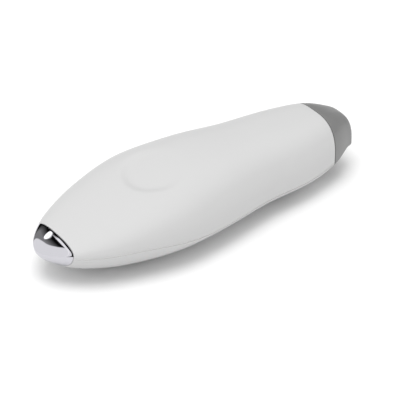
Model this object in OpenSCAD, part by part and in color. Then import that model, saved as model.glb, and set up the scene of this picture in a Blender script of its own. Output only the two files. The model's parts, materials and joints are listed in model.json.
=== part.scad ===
// Hand-held ultrasonic skin scrubber with a thumb scoop, a bright metal nose
// tip and a pull-off cap over the blade.
// Frame: nose towards -Y, blade and cap towards +Y, +Z up, resting on Z = 0.

/* [Body] */
// Length over the nose tip and the blade cap
body_length = 160; // [130:1:200]
// Greatest width of the casing
body_width = 58.5; // [48:0.5:72]
// Greatest height of the casing
body_height = 35.2; // [32:0.1:46]
// Wall of the two casing shells
casing_wall = 2; // [1.6:0.1:2.6]
// Gap at the seam that the gasket fills
seam_gap = 0.4; // [0.2:0.1:0.8]
// How far the seam gasket lies back from the outer skin
gasket_setback = 0.5; // [0.3:0.1:0.8]

/* [Thumb scoop] */
// Place of the scoop along the body
scoop_y = -21; // [-30:1:-10]
// Half width of the scoop
scoop_half_width = 16; // [10:0.5:20]
// Half length of the scoop
scoop_half_length = 15.5; // [10:0.5:20]
// Depth of the scoop on its nose side
scoop_depth = 2; // [0.5:0.1:3]

/* [Nose tip] */
// Length of bright metal ahead of the casing
nose_length = 9.2; // [7:0.2:12]
// Lean of the edge of the nose tip, as a slope
nose_lean = 0.2; // [0:0.01:0.3]
// Metal of the nose tip
nose_wall = 1.4; // [1:0.1:2]
// Skirt of the nose tip inside the casing
nose_skirt = 5; // [3:0.5:7]

/* [Blade cap] */
// Length of the cap behind the casing
cap_length = 15.6; // [13:0.1:24]
// Lean of the edge of the cap, as a slope
cap_lean = 0.01; // [0:0.01:0.2]
// Wall of the cap
cap_wall = 1.6; // [1.2:0.1:2.2]
// Running gap between the cap and its spigot
cap_clearance = 0.5; // [0.3:0.05:0.8]
// Gap between the casing and the mouth of the cap
cap_mouth_gap = 0.3; // [0.2:0.05:0.6]
// Length of the spigot that the cap slides on
spigot_length = 3; // [2:0.5:4]

/* [Blade and transducer] */
// Height of the transducer axis
axis_height = 16; // [14:0.5:20]
// Thickness of the blade
blade_thickness = 0.8; // [0.5:0.1:1.2]
// Width of the blade at its edge
blade_width = 15; // [12:0.5:16]
// Length of blade beyond its holder
blade_reach = 9.5; // [7:0.5:10]
// Radius of the neck that holds the blade
neck_radius = 5; // [4.5:0.1:5.5]
// Radius of the piezo rings
piezo_radius = 7.5; // [6:0.1:8]
// Thickness of one piezo ring
piezo_thickness = 2.5; // [2:0.1:3]
// Thickness of one electrode plate
electrode_thickness = 0.3; // [0.2:0.05:0.4]
// Length of the steel back mass
back_mass_length = 9; // [7:0.5:11]
// Radius of the clamp bolt
clamp_bolt_radius = 2.5; // [2:0.1:3]
// Wall of the silicone mount round the transducer
mount_wall = 2.4; // [1.8:0.1:2.6]

/* [Power button] */
// Place of the button along the underside
button_y = 6; // [4:1:10]
// Radius of the button
button_radius = 5; // [4:0.1:6]
// Running gap round the button
button_clearance = 0.35; // [0.3:0.05:0.5]
// How far the button face is sunk below the underside
button_recess = 0.7; // [0.4:0.1:1]
// Travel of the button
button_travel = 0.6; // [0.4:0.1:0.8]

/* [Battery and charging] */
// Radius of the cell
cell_radius = 7; // [6:0.1:7.2]
// Length of the cell
cell_length = 48; // [40:1:50]
// Radius of the hole in the charging socket
socket_bore_radius = 1.3; // [1.2:0.05:1.8]
// Depth of the hole in the charging socket
socket_depth = 10; // [8:0.5:11]
// Place of the socket along the body
socket_y = -52; // [-54:1:-51]
// Height of the socket's centre
socket_height = 11.4; // [11.2:0.1:11.6]

/* [Fasteners] */
// Radius of a casing screw's shank
screw_radius = 1.2; // [1:0.05:1.4]
// Radius of a casing screw's head
screw_head_radius = 2.4; // [2:0.1:2.6]
// Gap between a screw and its hole
screw_gap = 0.2; // [0.1:0.05:0.3]
// Grip of a casing screw above its head
screw_length = 15; // [12:0.5:17]

/* [Circuit board] */
// Height of the underside of the board
board_height = 10; // [9:0.1:11]
// Thickness of the board
board_thickness = 1.2; // [1:0.1:1.6]
// Length of the board
board_length = 35; // [32:1:37]
// Width of the board
board_width = 25; // [22:0.5:27]

/* [Hidden] */

$fn = 48;

// Fine gap between fixed pieces that touch
fit_gap = 0.05;
// Small overlap that joins two shapes of one piece
joint_bite = 0.3;

// Loft of the body: shares of half width and of height at stations that
// crowd towards both ends, nose first
plan_share = [0, 0.3, 0.62, 0.865, 1, 0.91, 0.755, 0.695, 0.555, 0.375, 0.295];
crown_share = [0.434, 0.517, 0.636, 0.789, 0.947, 1, 0.967, 0.931, 0.887, 0.772, 0.68];
keel_share = [0.434, 0.294, 0.15, 0.054, 0, 0, 0, 0, 0.051, 0.184, 0.191];
// Height of the seam as a share of the section, its rise towards the nose and
// its lower level behind the scoop
seam_level = 0.5;
seam_rise = 0.3;
seam_tail_level = 0.34;
// Stations between which the seam falls and the lower half turns sharper
fall_start = 0.28;
fall_end = 0.5;
// Fullness of the lower half of a section (2 is an ellipse) ahead of the fall
// and behind it, and of the upper half behind the nose and at its tip
front_fullness = 1.9;
rear_fullness = 1.4;
upper_fullness = 3;
tip_fullness = 2.3;
// Flat of the keel as a share of the half width
keel_flat = 0.14;

// Steps of the mesh: round each half of a section and along each piece
half_steps = 20;
casing_steps = 30;
cap_steps = 9;
nose_steps = 7;

// Edges where the pieces of the outer skin meet
nose_edge_y = -body_length / 2 + nose_length;
tail_edge_y = body_length / 2 - cap_length;

// ---- Form of the body ----

// Smooth curve through the values v, with u from 0 to 1
function spline(v, u) =
    let (
        n = len(v) - 1,
        i = min(floor(u * n), n - 1),
        f = u * n - i,
        b = v[i],
        c = v[i + 1],
        a = i == 0 ? 2 * b - c : v[i - 1],
        d = i == n - 1 ? 2 * c - b : v[i + 2]
    )
    0.5 * (2 * b + (c - a) * f + (2 * a - 5 * b + 4 * c - d) * f ^ 2
        + (3 * b - a - 3 * c + d) * f ^ 3);

function place_y(u) = -body_length / 2 * cos(180 * u);
function share_at(y) = acos(-2 * y / body_length) / 180;
function half_width(u) = body_width / 2 * spline(plan_share, u);
function crown(u) = body_height * spline(crown_share, u);
function keel(u) = body_height * max(0, spline(keel_share, u));
function fall(u) = ease((u - fall_start) / (fall_end - fall_start));
function seam(u) =
    let (level = seam_level + (seam_tail_level - seam_level) * fall(u))
        keel(u) + (crown(u) - keel(u)) * (level + seam_rise * max(0, 1 - 2 * u) ^ 2);
function lower_fullness(u) = front_fullness + (rear_fullness - front_fullness) * fall(u);

// The seam's gap, closing towards the tip of the nose
function gap_at(u) = seam_gap * min(1, 8 * u);
function fullness_at(u) = upper_fullness - (upper_fullness - tip_fullness) * max(0, 1 - 2.5 * u);

// Radius of a unit section of the given fullness at angle a
function fullness(n, a) = (abs(cos(a)) ^ n + abs(sin(a)) ^ n) ^ (-1 / n);

// Depth of the thumb scoop at a place on the crown
function ease(t) = let (c = min(1, max(0, t))) c * c * (3 - 2 * c);
function scoop(x, y) =
    let (
        r = norm([x / scoop_half_width, (y - scoop_y) / scoop_half_length]),
        along = (y - scoop_y) / scoop_half_length
    )
    scoop_depth * ease((1 - r) / 0.35) * (1 - ease(0.5 + along * 0.5) * 0.85);

// A point of the skin: station u, angle a (0 = seam at +X, 90 = crown,
// 180 = seam at -X, 270 = keel), inset from the outer skin
function upper_point(u, a, inset) =
    let (
        k = fullness(fullness_at(u), a),
        x = (half_width(u) - inset) * k * cos(a),
        y = place_y(u),
        base = seam(u) + gap_at(u)
    )
    [x, y, base + max(0.2, crown(u) - base - inset) * k * sin(a) - scoop(x, y)];

// side is 1 on the +X half and -1 on the other
function lower_point(u, a, inset, side) =
    let (
        k = fullness(lower_fullness(u), a),
        w = half_width(u) - inset
    )
    [side * keel_flat * w + (1 - keel_flat) * w * k * cos(a), place_y(u),
        seam(u) + (seam(u) - keel(u) - inset) * k * sin(a)];

// The angles of a section as [angle, side], side 0 on the upper half
upper_angles = [for (i = [0:half_steps]) [180 * i / half_steps, 0]];
lower_angles = [
    for (side = [-1, 1], i = [0:half_steps / 2])
        [(side < 0 ? 180 : 270) + 180 * i / half_steps, side]
];
round_angles = concat(upper_angles, lower_angles);
function skin_point(u, at, inset) =
    at[1] == 0 ? upper_point(u, at[0], inset) : lower_point(u, at[0], inset, at[1]);

// Station of each angle on a cut across the body that leans by a slope
function cut_share(y, lean, at) =
    share_at(y + lean * (skin_point(share_at(y), at, 0)[2] - axis_height));
function nose_cut(at, back = 0) = cut_share(nose_edge_y + back, nose_lean, at);
function tail_cut(at, back = 0) = cut_share(tail_edge_y + back, cap_lean, at);

// Half width of the lower half at height z, for pieces set against its wall
function side_reach(y, z) =
    let (
        u = share_at(y),
        n = lower_fullness(u),
        h = min(1, max(0, (seam(u) - z) / (seam(u) - keel(u))))
    )
    half_width(u) * (keel_flat + (1 - keel_flat) * (1 - h ^ n) ^ (1 / n));

// Height of the skin under a place (x, y), inset from the outer skin
function floor_height(x, y, inset = 0) =
    let (
        u = share_at(y),
        n = lower_fullness(u),
        r = max(0, (abs(x) / (half_width(u) - inset) - keel_flat) / (1 - keel_flat))
    )
    seam(u) - (seam(u) - keel(u) - inset) * (1 - min(1, r) ^ n) ^ (1 / n);

// ---- Meshes ----

// Sides between rings of n points, as triangles
function ring_sides(rings, n) = [
    for (i = [0:rings - 2], j = [0:n - 1])
        let (a = i * n + j, b = i * n + (j + 1) % n)
            each [[a, b, b + n], [a, b + n, a + n]]
];

// A solid closed over rings; a tip point closes an end, otherwise a flat face
module skin_solid(rings, first_tip = undef, last_tip = undef) {
    n = len(rings[0]);
    m = len(rings);
    points = concat(
        [for (r = rings) each r],
        is_undef(first_tip) ? [] : [first_tip],
        is_undef(last_tip) ? [] : [last_tip]
    );
    last = len(points) - 1;
    first_apex = is_undef(last_tip) ? last : last - 1;
    first_cap = is_undef(first_tip)
        ? [[for (j = [n - 1:-1:0]) j]]
        : [for (j = [0:n - 1]) [(j + 1) % n, j, first_apex]];
    last_cap = is_undef(last_tip)
        ? [[for (j = [0:n - 1]) (m - 1) * n + j]]
        : [for (j = [0:n - 1]) [(m - 1) * n + j, (m - 1) * n + (j + 1) % n, last]];
    polyhedron(points, concat(ring_sides(m, n), first_cap, last_cap), convexity = 10);
}

// A shell whose section is a strip: each section lists its outer points and
// then its inner points in the opposite order
module strip_solid(sections) {
    n = len(sections[0]);
    m = len(sections);
    half = n / 2;
    points = [for (s = sections) each s];
    ends = [
        for (j = [0:half - 2])
            let (a = j, b = j + 1, c = n - 2 - j, d = n - 1 - j, e = (m - 1) * n)
                each [[a, c, b], [a, d, c], [e + a, e + b, e + c], [e + a, e + c, e + d]]
    ];
    polyhedron(points, concat(ring_sides(m, n), ends), convexity = 10);
}

// The skin between the two cuts, t from 0 at the nose to 1 at the tail
function casing_point(at, inset, t) =
    skin_point(nose_cut(at) * (1 - t) + tail_cut(at) * t, at, inset);

// A casing shell over the given angles
module casing_shell(angles) {
    strip_solid([
        for (i = [0:casing_steps])
            let (t = i / casing_steps)
                concat(
                    [for (at = angles) casing_point(at, 0, t)],
                    [
                        for (k = [len(angles) - 1:-1:0])
                            casing_point(angles[k], casing_wall, t)
                    ]
                )
    ]);
}

// A round ring of the skin behind a cut, all at the same inset
function nose_ring(back, inset) =
    [for (at = round_angles) skin_point(nose_cut(at, back), at, inset)];
function tail_ring(back, inset) =
    [for (at = round_angles) skin_point(tail_cut(at, back), at, inset)];
// A flat ring of the skin at a place along the body
function flat_ring(y, inset) =
    [for (at = round_angles) skin_point(share_at(y), at, inset)];
// A ring part of the way from a cut (t = 0) to an end station (t = 1)
function nose_dome(inset, t, end) = [
    for (at = round_angles)
        skin_point(nose_cut(at, -nose_edge_gap) * (1 - t) + end * t, at, inset)
];
function cap_dome(inset, t, end) = [
    for (at = round_angles)
        skin_point(tail_cut(at, cap_mouth_gap) * (1 - t) + end * t, at, inset)
];

// ---- Small shapes ----

// A rod along +Y from y0, at height z
module rod(r, y0, length, z = axis_height) {
    translate([0, y0, z]) rotate([-90, 0, 0]) cylinder(r = r, h = length);
}

// A washer along +Y
module washer(r, hole, y0, length, z = axis_height) {
    difference() {
        rod(r, y0, length, z);
        rod(hole, y0 - 1, length + 2, z);
    }
}

// A block centred on x and y, standing on z
module block(size, at) {
    translate([at[0] - size[0] / 2, at[1] - size[1] / 2, at[2]]) cube(size);
}

// A round wire of radius r swept along the points of a route
module wire(route, r) {
    sides = 8;
    last = len(route) - 1;
    skin_solid([
        for (i = [0:last])
            let (
                d = route[min(i + 1, last)] - route[max(i - 1, 0)],
                f = d / norm(d),
                s0 = cross([0, 0, 1], f),
                s = norm(s0) < 0.05 ? [1, 0, 0] : s0 / norm(s0),
                v = cross(f, s)
            )
                [
                    for (j = [0:sides - 1])
                        route[i] - r * cos(360 * j / sides) * s + r * sin(360 * j / sides) * v
                ]
    ]);
}

// ---- Places worked out from the sizes ----

// Transducer stack, from the blade end forwards to the back mass
neck_end = tail_edge_y + spigot_length + 1;
neck_start = tail_edge_y - 3;
flange_length = 5;
flange_step = 0.6;
flange_radius = piezo_radius + flange_step;
flange_start = neck_start - flange_length;
horn_body_length = 6;
stack_front = flange_start - horn_body_length;
piezo_pitch = piezo_thickness + electrode_thickness;
stack_length = 2 * piezo_pitch + electrode_thickness;
back_mass_end = stack_front - stack_length;
back_mass_start = back_mass_end - back_mass_length;
bolt_head_length = 3;
blade_root = neck_start + 1;
blade_edge = neck_end + blade_reach;
mount_radius = flange_radius + mount_wall;

// Bezel that closes the tail
bezel_start = flange_start - 0.5;
bezel_gap = 0.15;
bezel_inset = casing_wall + bezel_gap;
spigot_inset = cap_wall + cap_clearance;
seal_wall = 1.4;
seal_radius = neck_radius + seal_wall;

// Battery and its cradle, which stands clear of the floor
cell_start = -57;
cradle_wall = 1.4;
cradle_gap = 0.15;
cradle_floor_gap = 0.3;
cradle_start = cell_start + 4;
cradle_length = cell_length - 5;
cradle_half_width = cell_radius + cradle_gap + cradle_wall;
cradle_bottom = floor_height(cradle_half_width, cradle_start, casing_wall) + cradle_floor_gap;
cell_height = cradle_bottom + cradle_wall + cradle_gap + cell_radius;

// Casing screws, as [x, y], and the posts they pass, which clear the battery
// cradle at the front and the back mass at the rear. Each head lies deep enough
// for its plug to stay inside the skin
screw_head_length = 1.8;
pocket_radius = screw_head_radius + screw_gap;
post_wall = 1.2;
post_radius = pocket_radius + post_wall;
post_gap = 0.5;
screw_places = [
    for (p = [[0.5, -40, cradle_half_width], [0.57, 38, piezo_radius]])
        [max(p[0] * half_width(share_at(p[1])), p[2] + post_radius + post_gap), p[1]]
];
thread_wall = 1.8;
thread_radius = screw_radius + thread_wall;
plug_gap = 0.1;
plug_height = 1;
plug_recess = 0.4;
function plug_bottom(p) = floor_height(p[0] + pocket_radius, p[1]) + plug_recess;
function head_seat(p) = plug_bottom(p) + plug_height + plug_gap + screw_head_length;

// Circuit board, which stays under the button and moves towards the nose only
// when the back mass comes closer
board_home = -2;
board_end_gap = 2.5;
board_y = min(board_home, back_mass_start - board_end_gap - board_length);
board_top = board_height + board_thickness;
board_screw_radius = 0.9;
board_post_radius = 2.2;
board_hole_edge = 2.6;
board_hole_x = board_width / 2 - board_hole_edge;
board_hole_y = [board_y + board_hole_edge, board_y + board_length - board_hole_edge];

// Button, its seat and the switch over it
seat_land = 3.4;
seat_radius = button_radius + seat_land;
seat_rise = 0.5;
seat_top = casing_wall + seat_rise;
flange_gap = 0.1;
button_flange_step = 1.5;
button_flange_radius = button_radius + button_flange_step;
button_flange_thickness = 1;
button_flange_bottom = seat_top + flange_gap;
button_top = button_flange_bottom + button_flange_thickness;
stem_radius = 2;
switch_height = 3.5;
switch_width = 6;
switch_bottom = board_height - switch_height;
plunger_radius = 1.2;
plunger_gap = 0.08;
stem_gap = 0.4;
plunger_depth = 0.6;
stem_top = switch_bottom - button_travel - stem_gap;
plunger_top = switch_bottom + plunger_depth;

// Ribs under the battery and its tabs
rib_thickness = 1.5;
rib_shares = [0.15, 0.5, 0.85];
rib_places = [for (share = rib_shares) cell_start + share * cell_length];
tab_thickness = 0.3;

// Charging socket, lamp and their small board
charge_board_size = [4.2, 11.4, 1];
charge_board_top = socket_height - 3;
charge_board_gap = 0.3;
charge_board_x = -cradle_half_width - charge_board_gap - charge_board_size[0] / 2;
charge_board_y = socket_y + 2.4;
charge_peg_y = socket_y + 3.9;
charge_peg_radius = 0.8;
socket_nose_wall = 1.5;
socket_hole_gap = 0.25;
socket_nose_radius = socket_bore_radius + socket_nose_wall;
socket_hole_radius = socket_nose_radius + socket_hole_gap;
socket_body = [6.6, 6, 6];
socket_body_gap = 6.5;
socket_wall_x = -side_reach(socket_y, socket_height);
socket_recess = 0.5;
socket_face_x = socket_wall_x + socket_recess;
lamp_y = socket_y + 6.5;
lamp_radius = 1.3;
pipe_radius = 1.1;
pipe_length = 4;
lamp_wall_x = -side_reach(lamp_y, socket_height);
lamp_recess = 0.25;
lamp_face_x = lamp_wall_x + lamp_recess;

// Nose tip, its boss, plate and screw
nose_edge_gap = 0.15;
skirt_gap = 0.1;
skirt_inset = casing_wall + skirt_gap;
nose_plate_start = nose_edge_y + nose_skirt;
nose_plate_thickness = 1.5;
nose_boss_height = 13.5;
nose_boss_radius = 2.6;
inner_tip_share = 0.1;
nose_boss_start = place_y(inner_tip_share) - 1;
nose_boss_end = nose_plate_start - 0.6;
washer_start = nose_plate_start + nose_plate_thickness;
washer_thickness = 0.5;
washer_rim = 0.8;
washer_tab_width = 3;
washer_tab_length = 4;
washer_tab_gap = 0.3;
nose_screw_seat = washer_start + washer_thickness;
nose_screw_length = 9;

// Upright tab of the contact washer, which stays clear of the casing above it
washer_tab_start = nose_boss_height + screw_head_radius;
washer_tab_top = min(
    washer_tab_start + washer_tab_length,
    crown(share_at(washer_start)) - casing_wall - washer_tab_gap
);

// Cap and blade details
cap_end_wall = 1.8;
inner_end_share = share_at(body_length / 2 - cap_end_wall);
blade_flare = 3;
blade_corner = 2;
blade_bend = 8;
electrode_tab_x = 0;
electrode_tab_height = 3;

// Wires, and the height of the lead that runs over the cell
wire_radius = 0.45;
lead_gap = 0.45;
lead_top = cell_height + cell_radius + wire_radius + lead_gap;
board_screw_depth = 5;

// ---- Pieces ----

// The space inside the middle of a casing wall, over the given angles
module casing_core(angles) {
    core_step = 8;
    core_start = -56;
    core_inset = casing_wall * 0.6;
    skin_solid([
        for (i = [0:13])
            [
                for (at = angles)
                    skin_point(share_at(core_start + core_step * i), at, core_inset)
            ]
    ]);
}

// Puts what follows at the seat of each casing screw's head
module at_screws() {
    for (p = screw_places, side = [-1, 1])
        translate([side * p[0], p[1], head_seat(p)]) children();
}

module upper_casing() color([0.87, 0.87, 0.86])
    difference() {
        union() {
            casing_shell(upper_angles);
            intersection() {
                casing_core(upper_angles);
                for (p = screw_places, side = [-1, 1])
                    translate([side * p[0], p[1], seam(share_at(p[1])) + seam_gap])
                        cylinder(r = thread_radius, h = body_height);
            }
        }
        at_screws() cylinder(r = screw_radius + fit_gap, h = screw_length + 0.5);
    }

// Posts on the floor of the lower casing, before they are trimmed to the wall
module floor_posts() {
    for (p = screw_places, side = [-1, 1])
        translate([side * p[0], p[1], 0])
            cylinder(r = post_radius, h = seam(share_at(p[1])) + seam_gap);
    for (x = [-1, 1], y = board_hole_y)
        translate([x * board_hole_x, y, 0])
            cylinder(r = board_post_radius, h = board_height);
    translate([charge_board_x, charge_peg_y, 0]) {
        cylinder(r = charge_peg_radius + 1, h = charge_board_top - charge_board_size[2]);
        cylinder(r = charge_peg_radius, h = charge_board_top + 0.6);
    }
    for (y = rib_places)
        block([2 * cell_radius, rib_thickness, cradle_bottom], [0, y, 0]);
}

module lower_casing() color([0.85, 0.85, 0.84])
    difference() {
        union() {
            casing_shell(lower_angles);
            intersection() {
                casing_core(lower_angles);
                floor_posts();
            }
            translate([0, button_y, casing_wall / 2])
                cylinder(r = seat_radius, h = seat_top - casing_wall / 2);
        }
        at_screws() {
            translate([0, 0, -body_height]) cylinder(r = pocket_radius, h = body_height);
            cylinder(r = screw_radius + screw_gap, h = body_height);
        }
        translate([0, button_y, -1])
            cylinder(r = button_radius + button_clearance, h = seat_top + 2);
        for (x = [-1, 1], y = board_hole_y)
            translate([x * board_hole_x, y, board_height - board_screw_depth])
                cylinder(r = board_screw_radius + fit_gap, h = board_screw_depth + 1);
        translate([socket_wall_x - 3, socket_y, socket_height])
            rotate([0, 90, 0]) cylinder(r = socket_hole_radius, h = 10);
        translate([lamp_wall_x - 3, lamp_y, socket_height])
            rotate([0, 90, 0]) cylinder(r = pipe_radius + fit_gap, h = 8);
    }

// A strip of gasket along one side of the seam
module gasket_side() {
    skin_solid([
        for (i = [0:casing_steps])
            let (
                t = i / casing_steps,
                top = [0, 0],
                bottom = [360, 1]
            )
                [
                    casing_point(bottom, gasket_setback, t),
                    casing_point(top, gasket_setback, t),
                    casing_point(top, casing_wall, t),
                    casing_point(bottom, casing_wall, t)
                ]
    ]);
}

module seam_gasket() color([0.35, 0.35, 0.36]) {
    gasket_side();
    mirror([1, 0, 0]) gasket_side();
}

module nose_tip() color([0.8, 0.8, 0.83])
    difference() {
        union() {
            skin_solid(
                concat(
                    [for (i = [nose_steps - 1:-1:1]) nose_dome(0, i / nose_steps, 0)],
                    [
                        nose_ring(-nose_edge_gap, 0),
                        nose_ring(-nose_edge_gap, skirt_inset),
                        flat_ring(nose_plate_start, skirt_inset),
                        flat_ring(nose_plate_start, skirt_inset + nose_wall),
                        nose_ring(-nose_edge_gap, skirt_inset + nose_wall)
                    ],
                    [for (i = [1:nose_steps]) nose_dome(nose_wall, i / nose_steps, inner_tip_share)]
                ),
                first_tip = [0, -body_length / 2, keel(0)]
            );
            rod(nose_boss_radius, nose_boss_start, nose_boss_end - nose_boss_start, nose_boss_height);
        }
        rod(screw_radius + fit_gap, nose_screw_seat - nose_screw_length - 0.5, nose_screw_length, nose_boss_height);
    }

module nose_retainer() color([0.25, 0.25, 0.26])
    difference() {
        skin_solid([
            flat_ring(nose_plate_start, skirt_inset),
            flat_ring(washer_start, skirt_inset)
        ]);
        rod(screw_radius + screw_gap, nose_edge_y, nose_skirt * 3, nose_boss_height);
    }

module nose_screw() color([0.7, 0.7, 0.72]) {
    rod(screw_radius, nose_screw_seat - nose_screw_length, nose_screw_length + joint_bite, nose_boss_height);
    difference() {
        rod(screw_head_radius, nose_screw_seat, screw_head_length, nose_boss_height);
        rod(screw_head_radius * 0.45, nose_screw_seat + screw_head_length / 2, screw_head_length, nose_boss_height);
    }
}

module contact_washer() color([0.78, 0.63, 0.3])
    difference() {
        union() {
            washer(screw_head_radius + washer_rim, screw_radius + screw_gap, washer_start, washer_thickness, nose_boss_height);
            translate([-washer_tab_width / 2, washer_start, washer_tab_start])
                cube([washer_tab_width, washer_thickness, washer_tab_top - washer_tab_start]);
        }
        rod(screw_radius + screw_gap, washer_start - 1, 3, nose_boss_height);
    }

module tail_bezel() color([0.55, 0.55, 0.55])
    difference() {
        skin_solid([
            tail_ring(bezel_start - tail_edge_y, bezel_inset),
            tail_ring((bezel_start - tail_edge_y) / 2, bezel_inset),
            tail_ring(-fit_gap, bezel_inset),
            tail_ring(fit_gap, spigot_inset),
            tail_ring(spigot_length, spigot_inset)
        ]);
        rod(seal_radius + fit_gap, bezel_start - 5, 4 * flange_length + 10);
        rod(mount_radius + fit_gap, bezel_start - 5, neck_start - bezel_start + 5 + fit_gap);
    }

module blade_seal() color([0.3, 0.3, 0.31])
    washer(seal_radius, neck_radius + fit_gap, neck_start + 0.5, tail_edge_y + spigot_length - neck_start - 0.5);

module blade_cap() color([0.55, 0.55, 0.54])
    skin_solid(
        concat(
            [for (i = [cap_steps:-1:0]) cap_dome(cap_wall, i / cap_steps, inner_end_share)],
            [for (i = [0:cap_steps]) cap_dome(0, i / cap_steps, 1)]
        )
    );

// Outline of the blade seen from above
module blade_plan() {
    root_width = 2 * neck_radius - 1.2;
    polygon([
        [-root_width / 2, blade_root],
        [root_width / 2, blade_root],
        [root_width / 2, neck_end],
        [blade_width / 2, neck_end + blade_flare],
        [blade_width / 2, blade_edge - blade_corner],
        [blade_width / 2 - blade_corner, blade_edge],
        [-blade_width / 2 + blade_corner, blade_edge],
        [-blade_width / 2, blade_edge - blade_corner],
        [-blade_width / 2, neck_end + blade_flare],
        [-root_width / 2, neck_end]
    ]);
}

// Side of the blade, with its slight bend and its thinned edge
module blade_side() {
    t = blade_thickness / 2;
    bend_y = neck_end + 2;
    drop = (blade_edge - bend_y) * tan(blade_bend);
    polygon([
        [blade_root - 1, -t],
        [bend_y, -t],
        [blade_edge, -drop - t],
        [blade_edge, -drop - t + 0.25],
        [blade_edge - 2.5, -drop + t + 2.5 * tan(blade_bend)],
        [bend_y, t],
        [blade_root - 1, t]
    ]);
}

module scrubber_blade() color([0.78, 0.79, 0.8])
    translate([0, 0, axis_height])
        intersection() {
            translate([0, 0, -10]) linear_extrude(20) blade_plan();
            translate([-20, 0, 0]) rotate([90, 0, 90]) linear_extrude(40) blade_side();
        }

module transducer_horn() color([0.72, 0.73, 0.75])
    difference() {
        union() {
            rod(piezo_radius, stack_front, horn_body_length + joint_bite);
            rod(flange_radius, flange_start, flange_length);
            rod(neck_radius, neck_start - joint_bite, neck_end - neck_start + joint_bite);
        }
        translate([-neck_radius - 1, blade_root, axis_height - blade_thickness / 2 - fit_gap / 2])
            cube([2 * neck_radius + 2, neck_end, blade_thickness + fit_gap]);
        rod(clamp_bolt_radius + fit_gap, stack_front - 1, horn_body_length + 1);
    }

module piezo_rings() color([0.75, 0.72, 0.62])
    for (i = [0:1])
        washer(piezo_radius, clamp_bolt_radius + 0.5,
            back_mass_end + electrode_thickness + i * piezo_pitch, piezo_thickness);

module electrode_plates() color([0.8, 0.5, 0.3])
    for (i = [0:2]) {
        y = back_mass_end + i * piezo_pitch;
        washer(piezo_radius, clamp_bolt_radius + 0.5, y, electrode_thickness);
        translate([electrode_tab_x - 1.5, y, axis_height + piezo_radius - 1.5])
            cube([3, electrode_thickness, electrode_tab_height + 1.5]);
    }

module back_mass() color([0.5, 0.51, 0.53])
    washer(piezo_radius, clamp_bolt_radius + 0.3, back_mass_start, back_mass_length);

module clamp_bolt() color([0.35, 0.35, 0.37])
    difference() {
        union() {
            rod(clamp_bolt_radius, back_mass_start - joint_bite,
                back_mass_length + stack_length + horn_body_length - 1 + joint_bite);
            rod(clamp_bolt_radius * 1.7, back_mass_start - bolt_head_length, bolt_head_length);
        }
        translate([0, back_mass_start - bolt_head_length - 0.1, axis_height])
            rotate([-90, 0, 0]) cylinder(r = clamp_bolt_radius * 0.9, h = bolt_head_length * 0.6, $fn = 6);
    }

module transducer_mount() color([0.4, 0.4, 0.42])
    washer(mount_radius, flange_radius + fit_gap, flange_start, flange_length - fit_gap);

module circuit_board() color([0.1, 0.35, 0.2])
    difference() {
        block([board_width, board_length, board_thickness], [0, board_y + board_length / 2, board_height]);
        for (x = [-1, 1], y = board_hole_y)
            translate([x * board_hole_x, y, board_height - 1])
                cylinder(r = board_screw_radius + screw_gap, h = board_thickness + 2);
    }

// A small pan-head screw pointing down, its head standing on the origin
module board_screw() {
    translate([0, 0, -board_thickness - board_screw_depth + 1])
        cylinder(r = board_screw_radius, h = board_thickness + board_screw_depth - 1 + joint_bite);
    difference() {
        cylinder(r = 1.7, h = 1.1);
        translate([-0.2, -1.2, 0.6]) cube([0.4, 2.4, 1]);
        translate([-1.2, -0.2, 0.6]) cube([2.4, 0.4, 1]);
    }
}

module board_screws() color([0.7, 0.7, 0.72])
    for (x = [-1, 1], y = board_hole_y)
        translate([x * board_hole_x, y, board_top]) board_screw();

module drive_transformer() color([0.75, 0.6, 0.2]) {
    at = [0, board_y + 22];
    block([10, 3, 7], [at[0], at[1] - 3.5, board_top]);
    block([10, 3, 7], [at[0], at[1] + 3.5, board_top]);
    block([6, 5, 5], [at[0], at[1], board_top + 1]);
}

module control_chip() color([0.12, 0.12, 0.13]) {
    at = [0, board_y + 8];
    block([6, 5, 1.2], [at[0], at[1], board_top + 0.2]);
    for (side = [-1, 1], i = [0:3])
        block([0.8, 0.5, 0.4], [at[0] + side * 3.3, at[1] + (i - 1.5) * 1.27, board_top]);
}

module board_capacitors() color([0.2, 0.2, 0.3])
    for (p = [[-8, 12], [8, 12], [8, 19]])
        translate([p[0], board_y + p[1], board_top]) cylinder(r = 2, h = 5);

module tact_switch() color([0.15, 0.15, 0.16])
    difference() {
        block([switch_width, switch_width, switch_height], [0, button_y, switch_bottom]);
        translate([0, button_y, switch_bottom - 1])
            cylinder(r = plunger_radius + plunger_gap, h = switch_height);
    }

module switch_plunger() color([0.3, 0.3, 0.32])
    translate([0, button_y, stem_top]) cylinder(r = plunger_radius, h = plunger_top - stem_top);

module power_button() color([0.6, 0.6, 0.6])
    translate([0, button_y, 0])
        difference() {
            union() {
                translate([0, 0, button_recess])
                    cylinder(r = button_radius, h = button_flange_bottom - button_recess + joint_bite);
                translate([0, 0, button_flange_bottom])
                    cylinder(r = button_flange_radius, h = button_flange_thickness);
                translate([0, 0, button_top - joint_bite])
                    cylinder(r = stem_radius, h = stem_top - button_top + joint_bite);
            }
            translate([0, 0, button_recess - 8.6]) sphere(r = 9, $fn = 96);
        }

module battery_cell() color([0.3, 0.45, 0.6]) {
    rod(cell_radius, cell_start, cell_length, cell_height);
    rod(2.5, cell_start + cell_length - joint_bite, 1 + joint_bite, cell_height);
}

module battery_cradle() color([0.2, 0.2, 0.21])
    difference() {
        block(
            [2 * cradle_half_width, cradle_length, cell_height - cradle_bottom],
            [0, cradle_start + cradle_length / 2, cradle_bottom]
        );
        rod(cell_radius + cradle_gap, cell_start - 1, cell_length + 2, cell_height);
    }

module battery_tabs() color([0.8, 0.8, 0.78]) {
    block([5, tab_thickness, 9], [0, cell_start - tab_thickness / 2, cell_height - 3]);
    block([5, tab_thickness, 9], [0, cell_start + cell_length + 1 + tab_thickness / 2, cell_height - 3]);
}

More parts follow.
